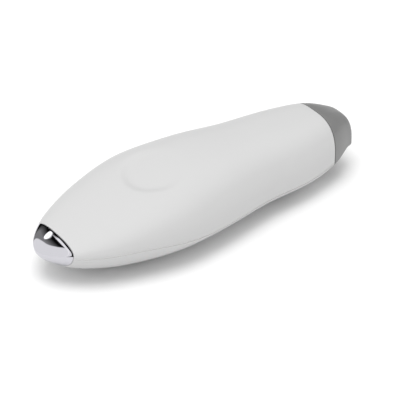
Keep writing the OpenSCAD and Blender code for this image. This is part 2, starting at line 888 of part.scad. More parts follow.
module charging_socket() color([0.12, 0.12, 0.13])
    difference() {
        translate([socket_face_x, socket_y, socket_height]) {
            rotate([0, 90, 0]) cylinder(r = socket_nose_radius, h = socket_body_gap + joint_bite);
            translate([socket_body_gap, -socket_body[1] / 2, -socket_body[2] / 2]) cube(socket_body);
        }
        translate([socket_face_x - 1, socket_y, socket_height])
            rotate([0, 90, 0]) cylinder(r = socket_bore_radius, h = socket_depth + 1);
    }

module charge_board() color([0.1, 0.35, 0.2])
    difference() {
        block(charge_board_size, [charge_board_x, charge_board_y, charge_board_top - charge_board_size[2]]);
        translate([charge_board_x, charge_peg_y, charge_board_top - 3])
            cylinder(r = charge_peg_radius + fit_gap, h = 4);
    }

module charge_led() color([0.6, 0.85, 0.6]) {
    translate([lamp_face_x + pipe_length + 0.2, lamp_y, socket_height]) {
        translate([lamp_radius, 0, 0]) rotate([0, 90, 0]) cylinder(r = lamp_radius, h = 3);
        translate([lamp_radius, 0, 0]) sphere(r = lamp_radius);
        translate([lamp_radius + 2.8, -1.5, -3]) cube([1, 3, 4.5]);
    }
}

module light_pipe() color([0.9, 0.95, 0.9])
    translate([lamp_face_x, lamp_y, socket_height])
        rotate([0, 90, 0]) cylinder(r = pipe_radius, h = pipe_length);

module casing_screws() color([0.65, 0.65, 0.67])
    at_screws() {
        translate([0, 0, -joint_bite]) cylinder(r = screw_radius, h = screw_length + joint_bite);
        difference() {
            translate([0, 0, -screw_head_length])
                cylinder(r = screw_head_radius, h = screw_head_length);
            translate([0, 0, -screw_head_length - 0.1])
                cylinder(r = screw_head_radius * 0.45, h = screw_head_length * 0.6, $fn = 6);
        }
    }

module screw_plugs() color([0.6, 0.6, 0.6])
    at_screws()
        translate([0, 0, -screw_head_length - plug_height - plug_gap])
            cylinder(r = pocket_radius - plug_gap, h = plug_height);

// Leads: routes of round numbers from terminal to terminal
module battery_leads() color([0.75, 0.1, 0.1]) {
    wire([
        [-1.5, -7.2, 17.5], [-1.5, -6.4, 17.6], [-1.6, -5.4, 17], [-2, -4.6, 15.4],
        [-2.4, -3.4, 13.6], [-2.8, -1.6, 12.4], [-3, 0, 11.7]
    ], wire_radius);
    wire([
        [1.5, -57.9, 17.5], [1.5, -58.4, 18.6], [1.5, -58.4, 20.4], [1.5, -57.4, lead_top - 0.1],
        [1.4, -54, lead_top + 0.1], [1.2, -44, lead_top], [1.2, -34, lead_top], [1.2, -24, lead_top],
        [1.4, -14, lead_top], [1.8, -9, lead_top - 0.4], [2.2, -6, 19.9], [2.6, -4, 16.4],
        [2.9, -2.2, 13.6], [3, 0, 11.7]
    ], wire_radius);
}

module transducer_leads() color([0.9, 0.9, 0.9])
    for (lead = [[-1, 0], [1, 1]]) {
        side = lead[0];
        start = back_mass_end + lead[1] * piezo_pitch;
        wire([
            [side * 2.2, start - 0.3, axis_height + piezo_radius + 2],
            [side * 3.2, start - 1.4, axis_height + piezo_radius + 2.4],
            [side * 5, start - 3.4, axis_height + piezo_radius + 2.2],
            [side * 7, start - 6, axis_height + piezo_radius + 1],
            [side * 8.4, start - 9, axis_height + piezo_radius - 1],
            [side * 8.9, 31.5, 19.5],
            [side * 8.8, 29, 16],
            [side * 8, 27.6, 13.2],
            [side * 7, 27, 11.7]
        ], wire_radius);
    }

module nose_lead() color([0.1, 0.1, 0.1])
    wire([
        [0.6, washer_start + 1.1, 18.6], [1.2, washer_start + 1.4, 19.4], [3, -61.4, 20],
        [5.5, -59, 20], [7.6, -55.4, 19.8], [9, -50, 19.6], [9.2, -42, 19.6],
        [9.2, -34, 19.6], [9.2, -26, 19.6], [9.2, -18, 19.6], [9.2, -11, 19],
        [9, -6, 17], [8.4, -2.6, 14.4], [7.6, -0.4, 12.6], [7, 1.6, 11.7]
    ], wire_radius);

module charge_leads() color([0.8, 0.5, 0.1])
    for (step = [0, 1])
        wire([
            [-12.6 + step * 2, -55.6, 8.9], [-12.6 + step * 2, -56.4, 10],
            [-12.2 + step * 2, -56.6, 12 + step * 0.4], [-11.2 + step * 1.4, -56, 14.4 + step],
            [-10.2 + step * 0.4, -53, 16.4 + step * 1.3], [-9.6, -48, 17.2 + step * 1.3],
            [-9.2, -40, 17.2 + step * 1.3], [-9.2, -32, 17.2 + step * 1.3],
            [-9.2, -24, 17.2 + step * 1.3], [-9.2, -16, 17.2 + step * 1.3],
            [-9.2, -10, 17 + step * 1.3], [-9 + step * 0.4, -6, 15.8 + step * 1.3],
            [-7.8 + step * 1.2, -3, 13.8 + step], [-7 + step * 1.6, -0.8, 12.4 + step * 0.4],
            [-6.8 + step * 1.8, 1.2, 11.7]
        ], wire_radius);

upper_casing();
lower_casing();
seam_gasket();
nose_tip();
nose_retainer();
nose_screw();
contact_washer();
tail_bezel();
blade_seal();
blade_cap();
scrubber_blade();
transducer_horn();
piezo_rings();
electrode_plates();
back_mass();
clamp_bolt();
transducer_mount();
circuit_board();
board_screws();
drive_transformer();
control_chip();
board_capacitors();
tact_switch();
switch_plunger();
power_button();
battery_cell();
battery_cradle();
battery_tabs();
charging_socket();
charge_board();
charge_led();
light_pipe();
casing_screws();
screw_plugs();
battery_leads();
transducer_leads();
nose_lead();
charge_leads();
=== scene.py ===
# %% [markdown]
# # A hand-held skin scrubber, built around its CAD frame
#
# The real object is a smooth white casing in two halves, with a hollow for the
# thumb, a bright metal nose and a grey cap over a steel blade. The sizes, joints
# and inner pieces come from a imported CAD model. This lesson loads that model and
# replaces the outer skin with smooth meshes made from the same curves. Every
# piece then gets a finish made of nodes. Everything is in metres.

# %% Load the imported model
import json
import math

import bmesh
import bpy
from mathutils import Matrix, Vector


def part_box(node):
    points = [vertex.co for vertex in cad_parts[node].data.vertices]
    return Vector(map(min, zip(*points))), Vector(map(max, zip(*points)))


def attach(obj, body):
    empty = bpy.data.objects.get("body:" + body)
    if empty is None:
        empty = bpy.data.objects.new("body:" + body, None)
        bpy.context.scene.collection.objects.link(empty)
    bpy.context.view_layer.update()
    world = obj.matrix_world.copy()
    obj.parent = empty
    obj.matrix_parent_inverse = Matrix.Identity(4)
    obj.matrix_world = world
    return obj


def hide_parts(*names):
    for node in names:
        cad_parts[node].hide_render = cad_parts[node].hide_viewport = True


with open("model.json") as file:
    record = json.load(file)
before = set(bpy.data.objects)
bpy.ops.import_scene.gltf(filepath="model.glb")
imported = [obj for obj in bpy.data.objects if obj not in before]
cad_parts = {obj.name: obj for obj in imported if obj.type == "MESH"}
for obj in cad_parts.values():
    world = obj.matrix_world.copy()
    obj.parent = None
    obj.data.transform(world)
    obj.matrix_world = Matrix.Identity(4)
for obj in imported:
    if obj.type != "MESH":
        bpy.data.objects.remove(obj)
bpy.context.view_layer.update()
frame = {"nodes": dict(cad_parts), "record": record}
scene = bpy.context.scene
nodes = frame["nodes"]
MM = 0.001

# %% [markdown]
# ## The camera
#
# A long lens seen from well above flattens the object a little, which is how
# such products are usually shown. The camera is placed by an azimuth and an
# elevation about a point in the middle of the body, so its two angles can be
# read straight from the code. Its shift stays at zero.

# %% Camera
AZIMUTH, ELEVATION = math.radians(54.33), math.radians(34.96)
DISTANCE = 0.8181
TARGET = Vector((0.00827, -0.00331, 0.015))
LENS, SENSOR = 172.3, 36.0
toward_camera = Vector((
    math.sin(AZIMUTH) * math.cos(ELEVATION),
    -math.cos(AZIMUTH) * math.cos(ELEVATION),
    math.sin(ELEVATION),
))
camera_data = bpy.data.cameras.new("camera")
camera_data.lens = LENS
camera_data.sensor_width = SENSOR
camera_data.clip_start, camera_data.clip_end = 0.01, 50
camera = bpy.data.objects.new("camera", camera_data)
scene.collection.objects.link(camera)
camera.location = TARGET + toward_camera * DISTANCE
camera.rotation_euler = toward_camera.to_track_quat("Z", "Y").to_euler()
scene.camera = camera
scene.view_settings.view_transform = "Standard"
print("camera at", [round(v, 4) for v in camera.location])

# %% [markdown]
# ## The form of the body
#
# The body is a loft: at each place along its length it has a half width, a
# height of the crown and a height of the keel. A few shares of the overall size
# and one smooth curve through them give all three. The stations crowd towards
# both ends, so the ends close in round domes. The lower half is leaner than an
# ellipse, and the upper half is fuller. The shares were fitted to the photo's
# outline by another program and rounded. The CAD model uses the same curves;
# only the tail side of the scoop and the gasket's depth differ a little.

# %% Curves of the body
BODY_LENGTH, BODY_WIDTH, BODY_HEIGHT = 160 * MM, 58.5 * MM, 35.2 * MM
CASING_WALL, SEAM_GAP, GASKET_SETBACK = 2 * MM, 0.4 * MM, 0.25 * MM
PLAN_SHARE = [0, 0.3, 0.62, 0.865, 1, 0.91, 0.755, 0.695, 0.555, 0.375, 0.295]
CROWN_SHARE = [0.434, 0.517, 0.636, 0.789, 0.947, 1, 0.967, 0.931, 0.887, 0.772, 0.68]
KEEL_SHARE = [0.434, 0.294, 0.15, 0.054, 0, 0, 0, 0, 0.051, 0.184, 0.191]
SEAM_LEVEL, SEAM_RISE, SEAM_TAIL_LEVEL = 0.5, 0.3, 0.34
FALL_START, FALL_END = 0.28, 0.5
FRONT_FULLNESS, REAR_FULLNESS = 1.9, 1.4
UPPER_FULLNESS, TIP_FULLNESS = 3, 2.3
KEEL_FLAT = 0.14
GAP_TAPER, TIP_TAPER = 8, 2.5
LEAST_HEIGHT = 0.2 * MM
WIDEST_SHARE = 0.4


def ease(t):
    """Goes smoothly from 0 to 1."""
    t = min(1, max(0, t))
    return t * t * (3 - 2 * t)


def spline(shares, u):
    """A smooth curve through the shares, u from 0 at the nose to 1 at the tail."""
    n = len(shares) - 1
    i = max(0, min(int(u * n), n - 1))
    f = u * n - i
    b, c = shares[i], shares[i + 1]
    a = 2 * b - c if i == 0 else shares[i - 1]
    d = 2 * c - b if i == n - 1 else shares[i + 2]
    return 0.5 * (
        2 * b + (c - a) * f + (2 * a - 5 * b + 4 * c - d) * f ** 2
        + (3 * b - a - 3 * c + d) * f ** 3
    )


def place_y(u):
    return -BODY_LENGTH / 2 * math.cos(math.pi * u)


def share_at(y):
    return math.acos(max(-1, min(1, -2 * y / BODY_LENGTH))) / math.pi


def half_width(u):
    return BODY_WIDTH / 2 * spline(PLAN_SHARE, u)


def crown(u):
    return BODY_HEIGHT * spline(CROWN_SHARE, u)


def keel(u):
    return BODY_HEIGHT * max(0, spline(KEEL_SHARE, u))


def fall(u):
    """How far the seam has dropped towards the tail, from 0 to 1."""
    return ease((u - FALL_START) / (FALL_END - FALL_START))


def seam(u):
    rise = SEAM_RISE * max(0, 1 - 2 * u) ** 2
    level = SEAM_LEVEL + (SEAM_TAIL_LEVEL - SEAM_LEVEL) * fall(u) + rise
    return keel(u) + (crown(u) - keel(u)) * level


def lower_fullness(u):
    return FRONT_FULLNESS + (REAR_FULLNESS - FRONT_FULLNESS) * fall(u)


def gap_at(u):
    return SEAM_GAP * min(1, GAP_TAPER * u)


def upper_fullness(u):
    return UPPER_FULLNESS - (UPPER_FULLNESS - TIP_FULLNESS) * max(0, 1 - TIP_TAPER * u)


def fullness(n, angle):
    """Radius of a unit section at an angle: n = 2 is an ellipse, more is fuller."""
    return (abs(math.cos(angle)) ** n + abs(math.sin(angle)) ** n) ** (-1 / n)


print("widest place: y =", round(place_y(WIDEST_SHARE) / MM, 1), "mm,",
      "width", round(2 * half_width(WIDEST_SHARE) / MM, 1))

# %% [markdown]
# ## The thumb scoop
#
# The hollow for the thumb is deepest on its nose side, where it ends in a crisp
# crescent, and it runs out softly towards the tail. It could be sculpted or cut
# with a Boolean, but a depth that is taken off the height of each point keeps
# the surface in one smooth piece.

# %% Scoop
SCOOP_Y, SCOOP_HALF_WIDTH, SCOOP_HALF_LENGTH, SCOOP_DEPTH = -21 * MM, 16 * MM, 15.5 * MM, 2 * MM
SCOOP_EDGE, SCOOP_FADE = 0.35, 0.94


def scoop(x, y):
    along = (y - SCOOP_Y) / SCOOP_HALF_LENGTH
    r = math.hypot(x / SCOOP_HALF_WIDTH, along)
    return SCOOP_DEPTH * ease((1 - r) / SCOOP_EDGE) * (1 - SCOOP_FADE * ease(0.5 + along / 2))


def skin_point(u, angle, inset=0.0, side=0):
    """A point of the skin: side 0 is the upper half, -1 and +1 the lower half."""
    w = half_width(u) - inset
    y = place_y(u)
    if side == 0:
        k = fullness(upper_fullness(u), angle)
        x = w * k * math.cos(angle)
        base = seam(u) + gap_at(u)
        height = max(LEAST_HEIGHT, crown(u) - base - inset)
        return Vector((x, y, base + height * k * math.sin(angle) - scoop(x, y)))
    k = fullness(lower_fullness(u), angle)
    x = side * KEEL_FLAT * w + (1 - KEEL_FLAT) * w * k * math.cos(angle)
    return Vector((x, y, seam(u) + (seam(u) - keel(u) - inset) * k * math.sin(angle)))


# %% Cuts between the pieces of the skin
NOSE_LENGTH, NOSE_LEAN, NOSE_GAP, NOSE_WALL, NOSE_SKIRT = 9.2 * MM, 0.2, 0.15 * MM, 1.4 * MM, 5 * MM
CAP_LENGTH, CAP_LEAN, CAP_GAP, CAP_WALL = 15.6 * MM, 0.01, 0.3 * MM, 1.6 * MM
AXIS_HEIGHT = 16 * MM
nose_edge_y = -BODY_LENGTH / 2 + NOSE_LENGTH
tail_edge_y = BODY_LENGTH / 2 - CAP_LENGTH


def cut_share(y, lean, angle, side):
    """The station of an angle on a cut across the body that leans by a slope."""
    z = skin_point(share_at(y), angle, 0, side).z
    return share_at(y + lean * (z - AXIS_HEIGHT))


def nose_cut(angle, side, back=0.0):
    return cut_share(nose_edge_y + back, NOSE_LEAN, angle, side)


def tail_cut(angle, side, back=0.0):
    return cut_share(tail_edge_y + back, CAP_LEAN, angle, side)


print("nose edge at", round(nose_edge_y / MM, 1), "mm,",
      "tail edge at", round(tail_edge_y / MM, 1), "mm")

# %% [markdown]
# ## Helpers that turn rings into meshes
#
# Every smooth piece here is a row of rings with quads between them. One helper
# closes the ends with a face or a tip, and another with a strip. Shading is
# smooth, with sharp edges only where two faces meet at a clear angle.

# %% Mesh helpers
SHARP = math.radians(38)


def add_piece(name, points, faces):
    """Makes an object of points and faces, with its normals outward."""
    mesh = bpy.data.meshes.new(name)
    mesh.from_pydata([tuple(p) for p in points], [], faces)
    work = bmesh.new()
    work.from_mesh(mesh)
    bmesh.ops.remove_doubles(work, verts=work.verts, dist=0.001 * MM)
    bmesh.ops.recalc_face_normals(work, faces=work.faces)
    work.to_mesh(mesh)
    work.free()
    shade(mesh)
    piece = bpy.data.objects.new(name, mesh)
    scene.collection.objects.link(piece)
    return piece


def shade(mesh, sharp=SHARP):
    mesh.shade_smooth()
    mesh.set_sharp_from_angle(angle=sharp)


def ring_faces(count, n, first=0):
    """Quads between rings of n points, where first is the number of a point."""
    faces = []
    for i in range(count - 1):
        a = first + i * n
        b = a + n
        faces += [(a + j, a + (j + 1) % n, b + (j + 1) % n, b + j) for j in range(n)]
    return faces


def loft(name, rings, first_tip=None):
    """A closed solid over rings, with flat ends, or a tip point at the first."""
    n = len(rings[0])
    points = [p for ring in rings for p in ring]
    faces = ring_faces(len(rings), n)
    last = (len(rings) - 1) * n
    if first_tip is None:
        faces.append(tuple(range(n)))
    else:
        points.append(first_tip)
        faces += [(j, (j + 1) % n, len(points) - 1) for j in range(n)]
    faces.append(tuple(range(last, last + n)))
    return add_piece(name, points, faces)


def strip_loft(name, sections):
    """A shell: each section lists outer points, then inner ones the other way."""
    n = len(sections[0])
    points = [p for s in sections for p in s]
    faces = ring_faces(len(sections), n)
    last = (len(sections) - 1) * n
    for j in range(n // 2 - 1):
        a, b, c, d = j, j + 1, n - 2 - j, n - 1 - j
        faces += [(a, b, c, d), (last + a, last + b, last + c, last + d)]
    return add_piece(name, points, faces)


def revolve(name, profile, axis_point, axis="Z", segments=96):
    """Turns a profile of (radius, height) points about an axis through a point."""
    rings = []
    for r, h in profile:
        ring = []
        for j in range(segments):
            a = 2 * math.pi * j / segments
            x, y = r * math.cos(a), r * math.sin(a)
            offset = {"Z": (x, y, h), "Y": (x, h, y), "X": (h, x, y)}[axis]
            ring.append(Vector(axis_point) + Vector(offset))
        rings.append(ring)
    return loft(name, rings)


UPPER_STEPS, LOWER_STEPS = 96, 48
ROUND_KEYS = [(math.pi * k / UPPER_STEPS, 0) for k in range(UPPER_STEPS + 1)]
ROUND_KEYS += [(math.pi + math.pi / 2 * k / LOWER_STEPS, -1) for k in range(LOWER_STEPS + 1)]
ROUND_KEYS += [(1.5 * math.pi + math.pi / 2 * k / LOWER_STEPS, 1) for k in range(LOWER_STEPS + 1)]


def flat_ring(y, inset):
    """A ring round the whole body at one place, inset from the skin."""
    return [skin_point(share_at(y), a, inset, s) for a, s in ROUND_KEYS]


def boolean(piece, other, operation="DIFFERENCE"):
    """Cuts, joins or keeps the overlap of two solids, and applies the result."""
    modifier = piece.modifiers.new(operation.lower(), "BOOLEAN")
    modifier.operation = operation
    modifier.solver = "EXACT"
    modifier.object = other
    evaluated = piece.evaluated_get(bpy.context.evaluated_depsgraph_get())
    mesh = bpy.data.meshes.new_from_object(evaluated)
    piece.modifiers.clear()
    piece.data = mesh
    shade(mesh)
    bpy.data.objects.remove(other)
    return piece


def rounding(radius, steps=4):
    """Quarter round as pairs (along, inset): from the skin to the end face."""
    turns = [math.pi / 2 * k / steps for k in range(steps + 1)]
    return [(radius * (1 - math.sin(a)), radius * (1 - math.cos(a))) for a in turns]


# %% [markdown]
# ## The white casing
#
# The real casing is two moulded shells with a fine gap between them. Moulded
# edges are never quite sharp: a small round on each one catches the light as a
# thin line, and it is what makes the seam and the rim by the cap look real. The
# rounds are made in the sections themselves, so no Bevel modifier is needed.

# %% Sections of a casing shell
EDGE_RADIUS = 0.1 * MM
RIM_RADIUS = 0.4 * MM
ARC_STEPS = 4
ALONG_STEPS = 150


def edge_point(u, fraction, inset, hand, upper):
    """On the round of a seam edge: fraction 0 on the seam's plane, 1 on the skin."""
    turn = math.pi / 2 * (1 - fraction)
    x = half_width(u) - inset - EDGE_RADIUS + EDGE_RADIUS * math.cos(turn)
    drop = EDGE_RADIUS * (1 - math.sin(turn))
    z = seam(u) + gap_at(u) + drop if upper else seam(u) - drop
    return Vector((hand * x, place_y(u), z))


def section_keys(upper):
    """Places round a shell as (part, amount, side): rounds at both seam edges."""
    arcs = [k / ARC_STEPS for k in range(ARC_STEPS)]
    if upper:
        middle = [("skin", k / UPPER_STEPS, 0) for k in range(UPPER_STEPS + 1)]
        return [("arc", f, 1) for f in arcs] + middle + [("arc", f, -1) for f in reversed(arcs)]
    left = [("skin", k / LOWER_STEPS, -1) for k in range(LOWER_STEPS + 1)]
    right = [("skin", k / LOWER_STEPS, 1) for k in range(LOWER_STEPS + 1)]
    return [("arc", f, -1) for f in arcs] + left + right + [("arc", f, 1) for f in reversed(arcs)]


def key_angle(u, key, upper, inset=0.0):
    """The angle of a key, leaving room at the seam edges for their rounds."""
    part, amount, side = key
    height = (crown(u) - seam(u) - gap_at(u) if upper else seam(u) - keel(u)) - inset
    margin = math.asin(min(0.5, EDGE_RADIUS / max(height, 4 * EDGE_RADIUS)))
    if upper:
        if part == "arc":
            return margin * amount if side > 0 else math.pi - margin * amount
        return margin + (math.pi - 2 * margin) * amount
    quarter = math.pi / 2 - margin
    if part == "arc":
        return math.pi + margin * amount if side < 0 else 2 * math.pi - margin * amount
    return math.pi + margin + quarter * amount if side < 0 else 1.5 * math.pi + quarter * amount


def shell_section(keys, upper, share_of, outer_inset):
    outer, inner = [], []
    for key in keys:
        part, amount, side = key
        angle = key_angle(0.5, key, upper)
        skin_side = 0 if upper else side
        u = share_of(angle, skin_side)
        if part == "arc":
            outer.append(edge_point(u, amount, outer_inset, side, upper))
        else:
            outer_angle = key_angle(u, key, upper, outer_inset)
            outer.append(skin_point(u, outer_angle, outer_inset, skin_side))
        inner.append(skin_point(u, key_angle(u, key, upper), CASING_WALL, skin_side))
    return outer + inner[::-1]


def casing_sections(upper):
    keys = section_keys(upper)
    sections = []
    for along, inset in rounding(RIM_RADIUS / 2)[::-1]:
        sections.append(shell_section(
            keys, upper, lambda a, s, along=along: nose_cut(a, s, along), inset))
    start, stop = RIM_RADIUS / 2, RIM_RADIUS
    for i in range(1, ALONG_STEPS):
        t = i / ALONG_STEPS

        def between(a, s, t=t):
            return nose_cut(a, s, start) * (1 - t) + tail_cut(a, s, -stop) * t

        sections.append(shell_section(keys, upper, between, 0))
    for along, inset in rounding(RIM_RADIUS):
        sections.append(shell_section(
            keys, upper, lambda a, s, along=along: tail_cut(a, s, -along), inset))
    return sections


# %% Upper casing
upper_casing = strip_loft("white_upper_casing", casing_sections(True))
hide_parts("upper_casing")
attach(upper_casing, "casing")
print("upper casing:", len(upper_casing.data.polygons), "faces")

# %% [markdown]
# ## The lower casing and its openings
#
# The underside holds the power button, four screw pockets, the charging socket
# and the lamp. The shell is made first and the inner posts are joined to it.
# The openings are then cut with Booleans whose cutters flare at the mouth, so
# each hole gets the small round that a moulded hole has.

# %% Places on the underside, from the CAD nodes
FIT_GAP = 0.05 * MM


def low_high(node):
    low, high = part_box(node)
    return Vector(low), Vector(high)


def middle(node):
    low, high = low_high(node)
    return (low + high) / 2


button_at = middle("power_button")
socket_at = middle("charging_socket")
lamp_at = middle("light_pipe")
SCREW_ROWS = ((0.5, -40 * MM), (0.57, 38 * MM))
screw_places = [
    (hand * share * half_width(share_at(y)), y) for share, y in SCREW_ROWS for hand in (-1, 1)
]
print("button at y =", round(button_at.y / MM, 2), "socket at y =", round(socket_at.y / MM, 2))


def floor_height(x, y):
    """Height of the outer skin of the underside above the ground."""
    u = share_at(y)
    w = half_width(u)
    r = max(0, (abs(x) / w - KEEL_FLAT) / (1 - KEEL_FLAT))
    n = lower_fullness(u)
    return seam(u) - (seam(u) - keel(u)) * (1 - r ** n) ** (1 / n)


def flared(name, radius, mouth, depth, at, axis="Z", flare=0.35 * MM):
    """A round cutter up from below the skin, with a quarter round at its mouth."""
    turns = [math.pi / 2 * k / 5 for k in range(6)]
    profile = [(radius + flare, mouth - 4 * MM)]
    profile += [
        (radius + flare * (1 - math.sin(a)), mouth + flare * (1 - math.cos(a))) for a in turns
    ]
    profile.append((radius, depth))
    return revolve(name, profile, at, axis)


# %% Lower casing with posts and openings
lower_casing = strip_loft("white_lower_casing", casing_sections(False))
SCREW_RADIUS, SCREW_GAP, POCKET_RADIUS, POST_RADIUS = 1.2 * MM, 0.2 * MM, 2.6 * MM, 3.8 * MM
SCREW_HEAD_LENGTH, PLUG_HEIGHT, PLUG_GAP, PLUG_RECESS = 1.8 * MM, 1 * MM, 0.1 * MM, 0.4 * MM
SHANK_HOLE, CORE_INSET, CUT_DEPTH = SCREW_RADIUS + SCREW_GAP, 0.6 * CASING_WALL, 5 * MM


def plug_bottom(y, x):
    return floor_height(abs(x) + POCKET_RADIUS, y) + PLUG_RECESS


for x, y in screw_places:
    seat = plug_bottom(y, x) + PLUG_HEIGHT + PLUG_GAP + SCREW_HEAD_LENGTH
    top = seam(share_at(y)) + SEAM_GAP - FIT_GAP
    post = revolve("post", [(POST_RADIUS, 0), (POST_RADIUS, top)], (x, y, 0))
    core = [flat_ring(y + POST_RADIUS * k / 2, CORE_INSET) for k in range(-3, 4)]
    boolean(post, loft("core", core), "INTERSECT")
    boolean(lower_casing, post, "UNION")
    pocket = revolve("pocket", [(POCKET_RADIUS, -CUT_DEPTH), (POCKET_RADIUS, seat)], (x, y, 0))
    boolean(lower_casing, pocket)
    shank = revolve("shank", [(SHANK_HOLE, seat - MM), (SHANK_HOLE, top + MM)], (x, y, 0))
    boolean(lower_casing, shank)

SEAT_RADIUS, SEAT_TOP, BUTTON_HOLE = 8.4 * MM, 2.5 * MM, 5.35 * MM
button_axis = (button_at.x, button_at.y, 0)
seat_ring = revolve("seat", [(SEAT_RADIUS, CASING_WALL / 2), (SEAT_RADIUS, SEAT_TOP)], button_axis)
boolean(lower_casing, seat_ring, "UNION")
boolean(lower_casing, flared("hole", BUTTON_HOLE, 0, CUT_DEPTH, button_axis))

SOCKET_HOLE, PIPE_HOLE, SIDE_CUT_DEPTH, SIDE_FLARE = 3.05 * MM, 1.15 * MM, 7 * MM, 0.25 * MM


def side_reach(y, z):
    """Half width of the underside at a height."""
    u = share_at(y)
    h = min(1, (seam(u) - z) / (seam(u) - keel(u)))
    n = lower_fullness(u)
    return half_width(u) * (KEEL_FLAT + (1 - KEEL_FLAT) * (1 - h ** n) ** (1 / n))


for y, z, radius in ((socket_at.y, socket_at.z, SOCKET_HOLE), (lamp_at.y, lamp_at.z, PIPE_HOLE)):
    wall = -side_reach(y, z)
    cutter = flared("opening", radius, 0, SIDE_CUT_DEPTH, (wall, y, z), "X", SIDE_FLARE)
    boolean(lower_casing, cutter)
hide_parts("lower_casing")
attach(lower_casing, "casing")
print("lower casing:", len(lower_casing.data.polygons), "faces")

# %% [markdown]
# ## Seam gasket
#
# A soft strip lies in the gap between the two shells, a little back from the
# skin. It keeps water out and shows only as a fine line.

# %% Gasket
gasket_keys = [t / ALONG_STEPS for t in range(ALONG_STEPS + 1)]


def gasket_corner(t, inset, hand, upper):
    angle = (0 if hand > 0 else math.pi) if upper else (2 * math.pi if hand > 0 else math.pi)
    side = 0 if upper else hand
    u = nose_cut(angle, side) * (1 - t) + tail_cut(angle, side) * t
    return skin_point(u, angle, inset, side)


gasket_points, gasket_faces = [], []
for hand in (-1, 1):
    first = len(gasket_points)
    for t in gasket_keys:
        gasket_points += [
            gasket_corner(t, GASKET_SETBACK, hand, False),
            gasket_corner(t, GASKET_SETBACK, hand, True),
            gasket_corner(t, CASING_WALL, hand, True),
            gasket_corner(t, CASING_WALL, hand, False),
        ]
    gasket_faces += ring_faces(len(gasket_keys), 4, first)
    end = len(gasket_points)
    gasket_faces += [tuple(range(first, first + 4)), tuple(range(end - 4, end))]
seam_gasket = add_piece("seam_gasket_strip", gasket_points, gasket_faces)
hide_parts("seam_gasket")
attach(seam_gasket, "casing")

# %% [markdown]
# ## Bright nose tip
#
# The nose tip is a drawn metal cup. Its dome must be perfectly smooth, because a
# mirror finish shows every facet, so it has many more rings than the CAD model.
# A skirt inside the casing holds it, and a boss takes the contact screw.

# %% Nose tip
NOSE_RINGS, NOSE_INNER_RINGS = 44, 20
INNER_TIP_SHARE = 0.1
SKIRT_GAP = 0.1 * MM
skirt_inset = CASING_WALL + SKIRT_GAP
nose_plate_y = nose_edge_y + NOSE_SKIRT
NOSE_ROUND = 0.3 * MM


def nose_ring(back, inset):
    return [skin_point(nose_cut(a, s, back), a, inset, s) for a, s in ROUND_KEYS]


def tail_ring(back, inset):
    return [skin_point(tail_cut(a, s, back), a, inset, s) for a, s in ROUND_KEYS]


def nose_dome(inset, t, end, back):
    return [
        skin_point(nose_cut(a, s, back) * (1 - t) + end * t, a, inset, s) for a, s in ROUND_KEYS
    ]


nose_rings = [
    nose_dome(0, i / NOSE_RINGS, 0, -NOSE_GAP - NOSE_ROUND) for i in range(NOSE_RINGS - 1, 0, -1)
]
nose_rings += [nose_ring(-NOSE_GAP - along, inset) for along, inset in rounding(NOSE_ROUND)]
nose_rings += [
    nose_ring(-NOSE_GAP, skirt_inset), flat_ring(nose_plate_y, skirt_inset),
    flat_ring(nose_plate_y, skirt_inset + NOSE_WALL), nose_ring(-NOSE_GAP, skirt_inset + NOSE_WALL),
]
nose_rings += [
    nose_dome(NOSE_WALL, i / NOSE_INNER_RINGS, INNER_TIP_SHARE, -NOSE_GAP)
    for i in range(1, NOSE_INNER_RINGS + 1)
]
nose_tip = loft("bright_nose_tip", nose_rings, first_tip=Vector((0, -BODY_LENGTH / 2, keel(0))))
BOSS_HEIGHT, BOSS_RADIUS, BOSS_END_GAP = middle("nose_screw").z, 2.6 * MM, 0.6 * MM
boss = revolve("boss", [
    (BOSS_RADIUS, place_y(INNER_TIP_SHARE) - MM), (BOSS_RADIUS, nose_plate_y - BOSS_END_GAP),
], (0, 0, BOSS_HEIGHT), "Y")
boolean(nose_tip, boss, "UNION")
thread_end = low_high("nose_screw")[0].y - 0.5 * MM
boolean(nose_tip, revolve("thread", [
    (SCREW_RADIUS + FIT_GAP, thread_end), (SCREW_RADIUS + FIT_GAP, nose_plate_y),
], (0, 0, BOSS_HEIGHT), "Y"))
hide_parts("nose_tip")
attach(nose_tip, "casing")
print("nose tip:", len(nose_tip.data.polygons), "faces")

# %% [markdown]
# ## Blade cap
#
# The cap is a thin cup with the shape of the tail. It closes over a short
# spigot, so its mouth is open and its wall shows when it is pulled off. Its
# mouth is rounded on the outside, which gives the fine line by the casing.

# %% Cap
CAP_RINGS = 60
CAP_ROUND, CAP_END_ROUND = 0.3 * MM, 0.7 * MM
CAP_END_WALL = 1.8 * MM
inner_end = share_at(BODY_LENGTH / 2 - CAP_END_WALL)


def cap_dome(inset, t, end, back):
    return [
        skin_point(tail_cut(a, s, back) * (1 - t) + end * t, a, inset, s) for a, s in ROUND_KEYS
    ]


cap_rings = [
    cap_dome(CAP_WALL, i / CAP_RINGS, inner_end, CAP_GAP) for i in range(CAP_RINGS, -1, -1)
]
cap_rings += [tail_ring(CAP_GAP + along, inset) for along, inset in rounding(CAP_ROUND)[::-1]]
cap_end = share_at(BODY_LENGTH / 2 - CAP_END_ROUND)
cap_rings += [
    cap_dome(0, i / CAP_RINGS, cap_end, CAP_GAP + CAP_ROUND) for i in range(1, CAP_RINGS)
]
cap_rings += [flat_ring(BODY_LENGTH / 2 - along, inset) for along, inset in rounding(CAP_END_ROUND)]
blade_cap = loft("grey_blade_cap", cap_rings)
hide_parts("blade_cap")
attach(blade_cap, "cap")
print("cap:", len(blade_cap.data.polygons), "faces")

# %% [markdown]
# ## Bezel, blade and button
#
# These show when the cap is off or the object is turned over. The bezel is the
# grey end of the body with the spigot for the cap. The blade is a thin steel
# plate with a slight bend and a thinned edge. The button is turned from a
# profile, so its face is dished and its rim is round.

